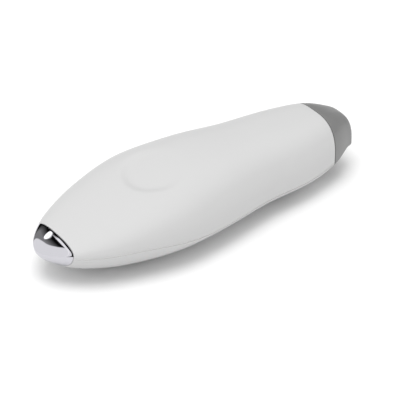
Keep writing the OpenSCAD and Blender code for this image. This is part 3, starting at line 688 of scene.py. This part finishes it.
# %% Tail bezel
bezel_low = low_high("tail_bezel")[0]
mount_low, mount_high = low_high("transducer_mount")
seal_low, seal_high = low_high("blade_seal")
BEZEL_GAP, SPIGOT_GAP = 0.15 * MM, 0.5 * MM
SPIGOT_LENGTH, SPIGOT_ROUND = 3 * MM, 0.3 * MM
BEZEL_INSET, SPIGOT_INSET = CASING_WALL + BEZEL_GAP, CAP_WALL + SPIGOT_GAP
BORE_END = 80 * MM
bezel_back = bezel_low.y - tail_edge_y
bezel_rings = [tail_ring(bezel_back * (1 - k / 8), BEZEL_INSET) for k in range(8)]
bezel_rings.append(tail_ring(-FIT_GAP, BEZEL_INSET))
bezel_rings += [
    tail_ring(FIT_GAP + (SPIGOT_LENGTH - SPIGOT_ROUND) * k / 4, SPIGOT_INSET) for k in range(5)
]
bezel_rings += [
    tail_ring(SPIGOT_LENGTH - along, SPIGOT_INSET + inset)
    for along, inset in rounding(SPIGOT_ROUND)
]
tail_bezel = loft("grey_tail_bezel", bezel_rings)
seal_radius = (seal_high.z - seal_low.z) / 2 + FIT_GAP
mount_radius = (mount_high.z - mount_low.z) / 2 + FIT_GAP
boolean(tail_bezel, revolve("bore", [
    (seal_radius, bezel_low.y - CUT_DEPTH), (seal_radius, BORE_END),
], (0, 0, AXIS_HEIGHT), "Y"))
boolean(tail_bezel, revolve("bore", [
    (mount_radius, bezel_low.y - CUT_DEPTH), (mount_radius, mount_high.y + 2 * FIT_GAP),
], (0, 0, AXIS_HEIGHT), "Y"))
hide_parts("tail_bezel")
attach(tail_bezel, "casing")

# %% Scrubber blade
blade_low, blade_high = low_high("scrubber_blade")
BLADE_THICKNESS, BLADE_FLARE, BLADE_CORNER = 0.8 * MM, 3 * MM, 2 * MM
BLADE_BEND, BLADE_BEND_AFTER = math.radians(8), 2 * MM
BLADE_TAPER, BLADE_EDGE, BLADE_SIDE_ROUND = 2.5 * MM, 0.25 * MM, 0.2 * MM
BLADE_STEPS = 44
blade_width = blade_high.x - blade_low.x
BLADE_ROOT_WIDTH = 8.8 * MM
neck_end = low_high("transducer_horn")[1].y
bend_y = neck_end + BLADE_BEND_AFTER


def blade_half_width(y):
    if y < neck_end:
        return BLADE_ROOT_WIDTH / 2
    if y < neck_end + BLADE_FLARE:
        widening = (blade_width - BLADE_ROOT_WIDTH) * ease((y - neck_end) / BLADE_FLARE)
        return (BLADE_ROOT_WIDTH + widening) / 2
    into = max(0, y - (blade_high.y - BLADE_CORNER))
    return blade_width / 2 - BLADE_CORNER + math.sqrt(max(0, BLADE_CORNER ** 2 - into ** 2))


def blade_section(y):
    """A flat oblong with rounded sides, bent down and thinned towards the edge."""
    w = blade_half_width(y)
    drop = max(0, y - bend_y) * math.tan(BLADE_BEND)
    thin = max(0, y - (blade_high.y - BLADE_TAPER)) / BLADE_TAPER
    low = AXIS_HEIGHT - drop - BLADE_THICKNESS / 2
    high = low + BLADE_THICKNESS - thin * (BLADE_THICKNESS - BLADE_EDGE)
    r = min(BLADE_SIDE_ROUND, (high - low) / 2.2)
    right, left, top, bottom = w - r, -w + r, high - r, low + r
    corners = ((right, top, 0), (left, top, 90), (left, bottom, 180), (right, bottom, 270))
    ring = []
    for cx, cz, start in corners:
        for k in range(4):
            a = math.radians(start + 30 * k)
            ring.append(Vector((cx + r * math.cos(a), y, cz + r * math.sin(a))))
    return ring


blade_steps = [
    blade_low.y + (blade_high.y - BLADE_CORNER - blade_low.y) * k / BLADE_STEPS
    for k in range(BLADE_STEPS + 1)
]
blade_steps += [
    blade_high.y - BLADE_CORNER * (1 - math.sin(math.radians(a))) for a in range(10, 86, 10)
]
blade_steps.append(blade_high.y)
scrubber_blade = loft("steel_scrubber_blade", [blade_section(y) for y in blade_steps])
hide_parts("scrubber_blade")
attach(scrubber_blade, "casing")
print("blade:", round(blade_width / MM, 1), "mm wide,",
      round((blade_high.y - neck_end) / MM, 1), "mm long")

# %% Power button
button_low, button_high = low_high("power_button")
FACE_RADIUS, FLANGE_RADIUS, STEM_RADIUS, DISH = 5 * MM, 6.5 * MM, 2 * MM, 0.4 * MM
FACE_ROUND, FACE_RIM, DISH_STEPS, PIN_RADIUS = 0.5 * MM, 2.3 * MM, 12, 0.02 * MM
face_z, flange_low, flange_high = button_low.z, 2.6 * MM, 3.6 * MM
dish_edge = FACE_RADIUS - FACE_RIM
button_profile = [(PIN_RADIUS, face_z + DISH)]
button_profile += [
    (dish_edge * k / DISH_STEPS, face_z + DISH * (1 - (k / DISH_STEPS) ** 2))
    for k in range(1, DISH_STEPS + 1)
]
button_profile += [
    (FACE_RADIUS - FACE_ROUND * (1 - math.sin(math.radians(a))),
     face_z + FACE_ROUND * (1 - math.cos(math.radians(a))))
    for a in range(0, 91, 15)
]
button_profile += [
    (FACE_RADIUS, flange_low), (FLANGE_RADIUS, flange_low), (FLANGE_RADIUS, flange_high),
    (STEM_RADIUS, flange_high), (STEM_RADIUS, button_high.z), (PIN_RADIUS, button_high.z),
]
power_button = revolve("dished_power_button", button_profile, button_axis)
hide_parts("power_button")
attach(power_button, "button")
print("button:", len(power_button.data.polygons), "faces")

# %% [markdown]
# ## Shared surface effects
#
# Several finishes need the same small effects: a slow drift of colour, a fine
# moulded grain, brushed lines and faint smudges in the gloss. Each one is a
# node group, built once and placed in each material with its own values. A
# group puts out only a colour, a value or a mask. The Principled BSDF stays in
# the material, with its plain numbers set on its own sockets.

# %% Node group helpers


def new_group(name, inputs, outputs):
    """A shader node group with named sockets: {name: (type, default)}."""
    group = bpy.data.node_groups.new(name, "ShaderNodeTree")
    for label, (kind, default) in inputs.items():
        socket = group.interface.new_socket(label, in_out="INPUT", socket_type="NodeSocket" + kind)
        socket.default_value = default
    for label, kind in outputs.items():
        group.interface.new_socket(label, in_out="OUTPUT", socket_type="NodeSocket" + kind)
    return group, group.nodes.new("NodeGroupInput"), group.nodes.new("NodeGroupOutput")


def math_node(tree, operation, a, b):
    """A Math node whose inputs are sockets or plain numbers."""
    node = tree.nodes.new("ShaderNodeMath")
    node.operation = operation
    for slot, value in zip(node.inputs, (a, b)):
        if isinstance(value, (int, float)):
            slot.default_value = value
        else:
            tree.links.new(value, slot)
    return node.outputs[0]


def noise_node(tree, vector, scale, detail=2.0, roughness=0.5):
    node = tree.nodes.new("ShaderNodeTexNoise")
    node.inputs["Detail"].default_value = detail
    node.inputs["Roughness"].default_value = roughness
    tree.links.new(vector, node.inputs["Vector"])
    if isinstance(scale, (int, float)):
        node.inputs["Scale"].default_value = scale
    else:
        tree.links.new(scale, node.inputs["Scale"])
    return node.outputs["Fac"]


def object_place(tree):
    return tree.nodes.new("ShaderNodeTexCoord").outputs["Object"]


# %% Colour drift
drift_group, drift_in, drift_out = new_group(
    "colour_drift",
    {"Color": ("Color", (0.8, 0.8, 0.8, 1)), "Other": ("Color", (0.7, 0.7, 0.7, 1)),
     "Scale": ("Float", 20.0), "Amount": ("Float", 0.3)},
    {"Color": "Color"},
)
drift_noise = noise_node(drift_group, object_place(drift_group), drift_in.outputs["Scale"], 3.0)
drift_mask = math_node(drift_group, "MULTIPLY", drift_noise, drift_in.outputs["Amount"])
drift_mix = drift_group.nodes.new("ShaderNodeMix")
drift_mix.data_type = "RGBA"
drift_group.links.new(drift_mask, drift_mix.inputs["Factor"])
drift_group.links.new(drift_in.outputs["Color"], drift_mix.inputs[6])
drift_group.links.new(drift_in.outputs["Other"], drift_mix.inputs[7])
drift_group.links.new(drift_mix.outputs[2], drift_out.inputs["Color"])

# %% Fine moulded grain
grain_group, grain_in, grain_out = new_group(
    "moulded_grain",
    {"Scale": ("Float", 3000.0), "Waviness": ("Float", 0.3)},
    {"Height": "Float"},
)
grain_fine = noise_node(grain_group, object_place(grain_group), grain_in.outputs["Scale"], 4.0, 0.6)
grain_wave = noise_node(grain_group, object_place(grain_group), 60.0, 1.0)
grain_waves = math_node(grain_group, "MULTIPLY", grain_wave, grain_in.outputs["Waviness"])
grain_sum = math_node(grain_group, "ADD", grain_fine, grain_waves)
grain_group.links.new(grain_sum, grain_out.inputs["Height"])

# %% Smudges in the gloss
smudge_group, smudge_in, smudge_out = new_group(
    "gloss_smudges",
    {"Roughness": ("Float", 0.4), "Spread": ("Float", 0.06), "Scale": ("Float", 35.0)},
    {"Roughness": "Float"},
)
smudge_noise = noise_node(
    smudge_group, object_place(smudge_group), smudge_in.outputs["Scale"], 5.0, 0.65)
smudge_shift = math_node(smudge_group, "SUBTRACT", smudge_noise, 0.5)
smudge_amount = math_node(smudge_group, "MULTIPLY", smudge_shift, smudge_in.outputs["Spread"])
smudge_group.links.new(
    math_node(smudge_group, "ADD", smudge_in.outputs["Roughness"], smudge_amount),
    smudge_out.inputs["Roughness"])

# %% Brushed lines
brush_group, brush_in, brush_out = new_group(
    "brushed_lines",
    {"Stretch": ("Vector", (60.0, 2500.0, 2500.0))},
    {"Height": "Float"},
)
brush_map = brush_group.nodes.new("ShaderNodeMapping")
brush_group.links.new(object_place(brush_group), brush_map.inputs["Vector"])
brush_group.links.new(brush_in.outputs["Stretch"], brush_map.inputs["Scale"])
brush_group.links.new(
    noise_node(brush_group, brush_map.outputs["Vector"], 1.0, 3.0, 0.6), brush_out.inputs["Height"])

# %% Wear along edges
wear_group, wear_in, wear_out = new_group(
    "edge_wear",
    {"Color": ("Color", (0.8, 0.8, 0.8, 1)), "Worn": ("Color", (0.9, 0.9, 0.9, 1)),
     "Amount": ("Float", 0.5)},
    {"Color": "Color"},
)
wear_shape = wear_group.nodes.new("ShaderNodeNewGeometry").outputs["Pointiness"]
wear_ramp = wear_group.nodes.new("ShaderNodeMapRange")
wear_ramp.inputs["From Min"].default_value = 0.52
wear_ramp.inputs["From Max"].default_value = 0.62
wear_group.links.new(wear_shape, wear_ramp.inputs["Value"])
wear_patch = noise_node(wear_group, object_place(wear_group), 300.0, 3.0)
wear_mask = math_node(wear_group, "MULTIPLY", wear_ramp.outputs[0], wear_patch)
wear_mask = math_node(wear_group, "MULTIPLY", wear_mask, wear_in.outputs["Amount"])
wear_mix = wear_group.nodes.new("ShaderNodeMix")
wear_mix.data_type = "RGBA"
wear_group.links.new(wear_mask, wear_mix.inputs["Factor"])
wear_group.links.new(wear_in.outputs["Color"], wear_mix.inputs[6])
wear_group.links.new(wear_in.outputs["Worn"], wear_mix.inputs[7])
wear_group.links.new(wear_mix.outputs[2], wear_out.inputs["Color"])
print("node groups:", [g.name for g in bpy.data.node_groups])

# %% [markdown]
# ## Finishes
#
# One function builds a finish from a short recipe: its colour and what it
# drifts to, how metallic, rough and bumpy it is, and whether its lines are
# brushed or moulded. A table holds one recipe for each material slot of the
# CAD record, so every piece, inside and out, gets a finish of its own.

# %% One finish from a recipe
BUMP_DISTANCE = 0.0002


def place_group(tree, group, **values):
    node = tree.nodes.new("ShaderNodeGroup")
    node.node_tree = group
    for label, value in values.items():
        node.inputs[label].default_value = value
    return node


def grey(level):
    return (level, level, level, 1)


def finish(name, colour, other=None, drift=0.4, drift_scale=25.0, metallic=0.0, rough=0.4,
           spread=0.06, grain=3000.0, bump=0.02, brushed=None, wear=None, coat=0.0, **sockets):
    """A material with drifting colour, smudged gloss and a fine bump."""
    material = bpy.data.materials.new(name)
    material.use_nodes = True
    tree = material.node_tree
    shader = tree.nodes["Principled BSDF"]
    colours = place_group(
        tree, drift_group, Color=colour, Other=other or colour, Scale=drift_scale, Amount=drift)
    colour_out = colours.outputs["Color"]
    if wear:
        worn = place_group(tree, wear_group, Worn=wear[0], Amount=wear[1])
        tree.links.new(colour_out, worn.inputs["Color"])
        colour_out = worn.outputs["Color"]
    tree.links.new(colour_out, shader.inputs["Base Color"])
    gloss = place_group(tree, smudge_group, Roughness=rough, Spread=spread)
    tree.links.new(gloss.outputs["Roughness"], shader.inputs["Roughness"])
    if brushed:
        lines = place_group(tree, brush_group, Stretch=brushed)
    else:
        lines = place_group(tree, grain_group, Scale=grain)
    if bump > 0:
        bumps = tree.nodes.new("ShaderNodeBump")
        bumps.inputs["Strength"].default_value = bump
        bumps.inputs["Distance"].default_value = BUMP_DISTANCE
        tree.links.new(lines.outputs["Height"], bumps.inputs["Height"])
        tree.links.new(bumps.outputs["Normal"], shader.inputs["Normal"])
    shader.inputs["Metallic"].default_value = metallic
    shader.inputs["Coat Weight"].default_value = coat
    for label, value in sockets.items():
        shader.inputs[label.replace("_", " ")].default_value = value
    return material


# %% Recipes for every slot
steel = (0.62, 0.63, 0.65, 1)
finishes = {
    "white_casing": finish(
        "satin_white_casing", (0.502, 0.502, 0.502, 1), (0.49, 0.49, 0.49, 1), 0.5, 18.0,
        rough=0.42, spread=0.10, grain=2600.0, bump=0.03),
    "bright_metal": finish(
        "mirror_chrome", (0.57, 0.565, 0.60, 1), (0.55, 0.545, 0.58, 1), 0.4, 60.0, metallic=1.0,
        rough=0.02, spread=0.012, bump=0.0),
    "grey_plastic": finish(
        "satin_grey_plastic", (0.18, 0.18, 0.179, 1), (0.16, 0.16, 0.159, 1), 0.5, 40.0,
        rough=0.38, spread=0.12, grain=2600.0, bump=0.05, wear=(grey(0.45), 0.5)),
    "button_plastic": finish(
        "grey_button", (0.42, 0.42, 0.415, 1), (0.36, 0.36, 0.355, 1), 0.5, 90.0,
        rough=0.35, spread=0.1, grain=4000.0, bump=0.08, wear=(grey(0.55), 0.5)),
    "blade_steel": finish(
        "brushed_blade_steel", steel, (0.5, 0.51, 0.53, 1), 0.5, 120.0, metallic=1.0,
        rough=0.24, spread=0.1, bump=0.25, brushed=(120.0, 4000.0, 2500.0), wear=(grey(0.8), 0.6)),
    "horn_metal": finish(
        "turned_aluminium", (0.7, 0.71, 0.72, 1), (0.6, 0.61, 0.63, 1), 0.5, 80.0, metallic=1.0,
        rough=0.32, bump=0.3, brushed=(60.0, 5000.0, 60.0)),
    "screw_steel": finish(
        "plated_screw_steel", (0.66, 0.66, 0.64, 1), (0.5, 0.5, 0.5, 1), 0.5, 300.0, metallic=1.0,
        rough=0.3, bump=0.15, grain=6000.0, wear=(grey(0.85), 0.5)),
    "dark_steel": finish(
        "blackened_steel", (0.12, 0.12, 0.13, 1), (0.2, 0.2, 0.21, 1), 0.6, 200.0, metallic=1.0,
        rough=0.42, bump=0.2, brushed=(80.0, 4000.0, 80.0), wear=(grey(0.5), 0.5)),
    "brass_contact": finish(
        "brass_contact", (0.74, 0.53, 0.22, 1), (0.6, 0.4, 0.16, 1), 0.6, 200.0, metallic=1.0,
        rough=0.3, bump=0.15, grain=5000.0, wear=((0.9, 0.75, 0.4, 1), 0.5)),
    "copper": finish(
        "copper_electrodes", (0.8, 0.42, 0.26, 1), (0.6, 0.3, 0.2, 1), 0.6, 200.0, metallic=1.0,
        rough=0.34, bump=0.15, grain=5000.0),
    "nickel": finish(
        "nickel_strip", (0.66, 0.63, 0.57, 1), (0.55, 0.52, 0.47, 1), 0.6, 250.0, metallic=1.0,
        rough=0.36, bump=0.2, brushed=(200.0, 200.0, 5000.0)),
    "ceramic": finish(
        "piezo_ceramic", (0.5, 0.45, 0.33, 1), (0.42, 0.38, 0.28, 1), 0.6, 160.0,
        rough=0.6, bump=0.3, grain=5000.0),
    "gasket": finish(
        "soft_gasket", (0.72, 0.72, 0.71, 1), (0.66, 0.66, 0.65, 1), 0.5, 120.0,
        rough=0.62, bump=0.12, grain=4000.0),
    "plug_rubber": finish(
        "white_screw_plugs", (0.6, 0.6, 0.59, 1), (0.54, 0.54, 0.53, 1), 0.5, 150.0,
        rough=0.6, bump=0.12, grain=4000.0),
    "inner_plastic": finish(
        "black_inner_plastic", (0.03, 0.03, 0.032, 1), (0.05, 0.05, 0.052, 1), 0.5, 60.0,
        rough=0.5, bump=0.15, grain=2500.0),
    "black_plastic": finish(
        "black_moulding", (0.022, 0.022, 0.024, 1), (0.04, 0.04, 0.042, 1), 0.5, 90.0,
        rough=0.4, bump=0.1, grain=3000.0),
    "board": finish(
        "board_laminate", (0.02, 0.16, 0.07, 1), (0.012, 0.1, 0.045, 1), 0.7, 400.0,
        rough=0.32, bump=0.1, brushed=(1500.0, 1500.0, 100.0), coat=0.4),
    "transformer": finish(
        "ferrite_and_tape", (0.55, 0.38, 0.05, 1), (0.35, 0.24, 0.04, 1), 0.6, 150.0,
        rough=0.42, bump=0.3, brushed=(5000.0, 80.0, 2500.0)),
    "capacitor": finish(
        "capacitor_sleeve", (0.03, 0.035, 0.09, 1), (0.05, 0.055, 0.12, 1), 0.5, 200.0,
        rough=0.3, bump=0.08, grain=3000.0),
    "cell_wrap": finish(
        "cell_wrap", (0.08, 0.2, 0.42, 1), (0.06, 0.15, 0.33, 1), 0.5, 70.0,
        rough=0.28, spread=0.12, bump=0.06, grain=1200.0, coat=0.3),
    "lamp": finish(
        "lamp_resin", (0.55, 0.75, 0.55, 1), (0.45, 0.68, 0.46, 1), 0.5, 300.0,
        rough=0.15, bump=0.03, Transmission_Weight=0.6, IOR=1.5),
    "clear_plastic": finish(
        "clear_light_pipe", (0.86, 0.9, 0.87, 1), (0.8, 0.86, 0.82, 1), 0.4, 300.0,
        rough=0.12, bump=0.03, Transmission_Weight=0.8, IOR=1.49),
    "wire_red": finish(
        "red_wire_sleeve", (0.45, 0.02, 0.02, 1), (0.32, 0.015, 0.015, 1), 0.5, 120.0,
        rough=0.4, bump=0.05, grain=2500.0),
    "wire_white": finish(
        "white_wire_sleeve", (0.7, 0.7, 0.68, 1), (0.6, 0.6, 0.58, 1), 0.5, 120.0,
        rough=0.4, bump=0.05, grain=2500.0),
    "wire_black": finish(
        "black_wire_sleeve", (0.02, 0.02, 0.022, 1), (0.035, 0.035, 0.037, 1), 0.5, 120.0,
        rough=0.4, bump=0.05, grain=2500.0),
    "wire_yellow": finish(
        "yellow_wire_sleeve", (0.65, 0.45, 0.03, 1), (0.5, 0.34, 0.02, 1), 0.5, 120.0,
        rough=0.4, bump=0.05, grain=2500.0),
}
print("finishes:", len(finishes))

# %% Put a finish on every piece
CAD_SHARP = math.radians(30)
new_pieces = {
    "white_casing": [upper_casing, lower_casing],
    "gasket": [seam_gasket], "bright_metal": [nose_tip],
    "grey_plastic": [blade_cap, tail_bezel], "blade_steel": [scrubber_blade],
    "button_plastic": [power_button],
}
for slot_name, pieces in new_pieces.items():
    for piece in pieces:
        piece.data.materials.clear()
        piece.data.materials.append(finishes[slot_name])
for row in frame["record"]["subparts"]:
    node = nodes[row["node"]]
    node.data.materials.clear()
    node.data.materials.append(finishes[row["material_slot"]])
    shade(node.data, CAD_SHARP)

# %% [markdown]
# ## Floor and light
#
# The object lies on plain white paper in a soft studio. A large softbox almost
# straight above makes the soft shadow. The room is white for the paper and the
# casing but dark in mirror reflections, as when black cards stand round a
# chromed product, so the bright metal gets its black and white shapes. The
# places of those cards were fitted to the photo by another program.

# %% Floor
FLOOR_SIZE = 12.0
floor = add_piece(
    "paper_floor",
    [Vector((x * FLOOR_SIZE / 2, y * FLOOR_SIZE / 2, 0))
     for x, y in ((-1, -1), (1, -1), (1, 1), (-1, 1))],
    [(0, 1, 2, 3)])
floor.data.materials.append(finish(
    "white_paper", (0.8, 0.8, 0.8, 1), (0.78, 0.78, 0.78, 1), 0.5, 3.0, rough=0.9, bump=0.0))

# %% World: white to the paper, black and white cards in reflections
world = bpy.data.worlds.new("studio")
scene.world = world
world.use_nodes = True
sky = world.node_tree
background = sky.nodes["Background"]
light_path = sky.nodes.new("ShaderNodeLightPath")
ROOM, DARK, CARD = 1.05, 0.004, 1.15


def compass(azimuth, elevation):
    """A direction from degrees: azimuth from the nose towards +X, and height."""
    a, e = math.radians(azimuth), math.radians(elevation)
    return Vector((math.sin(a) * math.cos(e), -math.cos(a) * math.cos(e), math.sin(e)))


def sky_ramp(value, low, high):
    """Rises from 0 to 1 as a value goes from low to high."""
    ramp = sky.nodes.new("ShaderNodeMapRange")
    ramp.inputs["From Min"].default_value = low
    ramp.inputs["From Max"].default_value = high
    sky.links.new(value, ramp.inputs["Value"])
    return ramp.outputs[0]


def along_sky(direction):
    """How closely the sky's direction lines up with one direction."""
    dot = sky.nodes.new("ShaderNodeVectorMath")
    dot.operation = "DOT_PRODUCT"
    sky.links.new(sky_direction, dot.inputs[0])
    dot.inputs[1].default_value = direction
    return dot.outputs["Value"]


def cos_deg(angle):
    return math.cos(math.radians(angle))


CARD_DIRECTION, CARD_EDGE = (-0.349, -0.911, 0.222), (0.545, 0.56)
STRIP_DIRECTION, STRIP_EDGES = (0.507, 0.858, -0.085), ((-0.4795, -0.4765), (-0.463, -0.466))
STRIP_END = (0.462, 0.472)
LAMP_DIRECTION, LAMP_EDGE = compass(-83, 42.4), (2.7, 1.3)
GLOW_EDGE, GLOW_END = (-0.495, -0.55), (0.4, 0.47)
LAMP_STRENGTH, STRIP_STRENGTH, GLOW_STRENGTH = 3.0, 1.35, 0.32

sky_direction = sky.nodes.new("ShaderNodeTexCoord").outputs["Generated"]
toward_card = along_sky(CARD_DIRECTION)
toward_strip = along_sky(STRIP_DIRECTION)
white_card = sky_ramp(toward_card, *CARD_EDGE)
strip_sides = [sky_ramp(toward_strip, *edge) for edge in STRIP_EDGES]
strip_lamp = math_node(sky, "MULTIPLY", *strip_sides)
strip_lamp = math_node(sky, "MULTIPLY", strip_lamp, sky_ramp(toward_card, *STRIP_END))
round_lamp = sky_ramp(along_sky(LAMP_DIRECTION), *[cos_deg(angle) for angle in LAMP_EDGE])
lamp_glow = math_node(
    sky, "MULTIPLY", sky_ramp(toward_strip, *GLOW_EDGE), sky_ramp(toward_card, *GLOW_END))
lit = math_node(sky, "MULTIPLY", white_card, CARD)
for mask, strength in (
        (round_lamp, LAMP_STRENGTH), (strip_lamp, STRIP_STRENGTH), (lamp_glow, GLOW_STRENGTH)):
    lit = math_node(sky, "MAXIMUM", lit, math_node(sky, "MULTIPLY", mask, strength))
lit = math_node(sky, "ADD", lit, DARK)
shade_mix = sky.nodes.new("ShaderNodeMix")
shade_mix.data_type = "RGBA"
sky.links.new(light_path.outputs["Is Glossy Ray"], shade_mix.inputs["Factor"])
shade_mix.inputs[6].default_value = grey(ROOM)
sky.links.new(lit, shade_mix.inputs[7])
camera_mix = sky.nodes.new("ShaderNodeMix")
camera_mix.data_type = "RGBA"
sky.links.new(light_path.outputs["Is Camera Ray"], camera_mix.inputs["Factor"])
sky.links.new(shade_mix.outputs[2], camera_mix.inputs[6])
camera_mix.inputs[7].default_value = grey(1.0)
sky.links.new(camera_mix.outputs[2], background.inputs["Color"])


# %% Lights
def softbox(name, toward, distance, size, watts):
    """A round area light in a direction from the camera's target, facing it."""
    data = bpy.data.lights.new(name, "AREA")
    data.shape = "DISK"
    data.size = size
    data.energy = watts
    light = bpy.data.objects.new(name, data)
    scene.collection.objects.link(light)
    direction = Vector(toward).normalized()
    light.location = TARGET + direction * distance
    light.rotation_euler = direction.to_track_quat("Z", "Y").to_euler()
    return light


KEY_TOWARD, KEY_DISTANCE, KEY_SIZE, KEY_WATTS = (0.08, -0.16, 0.9), 1.5, 1.0, 12.5
key_light = softbox("key_softbox", KEY_TOWARD, KEY_DISTANCE, KEY_SIZE, KEY_WATTS)
key_light.visible_glossy = False
print("key light at", [round(v, 2) for v in key_light.location])
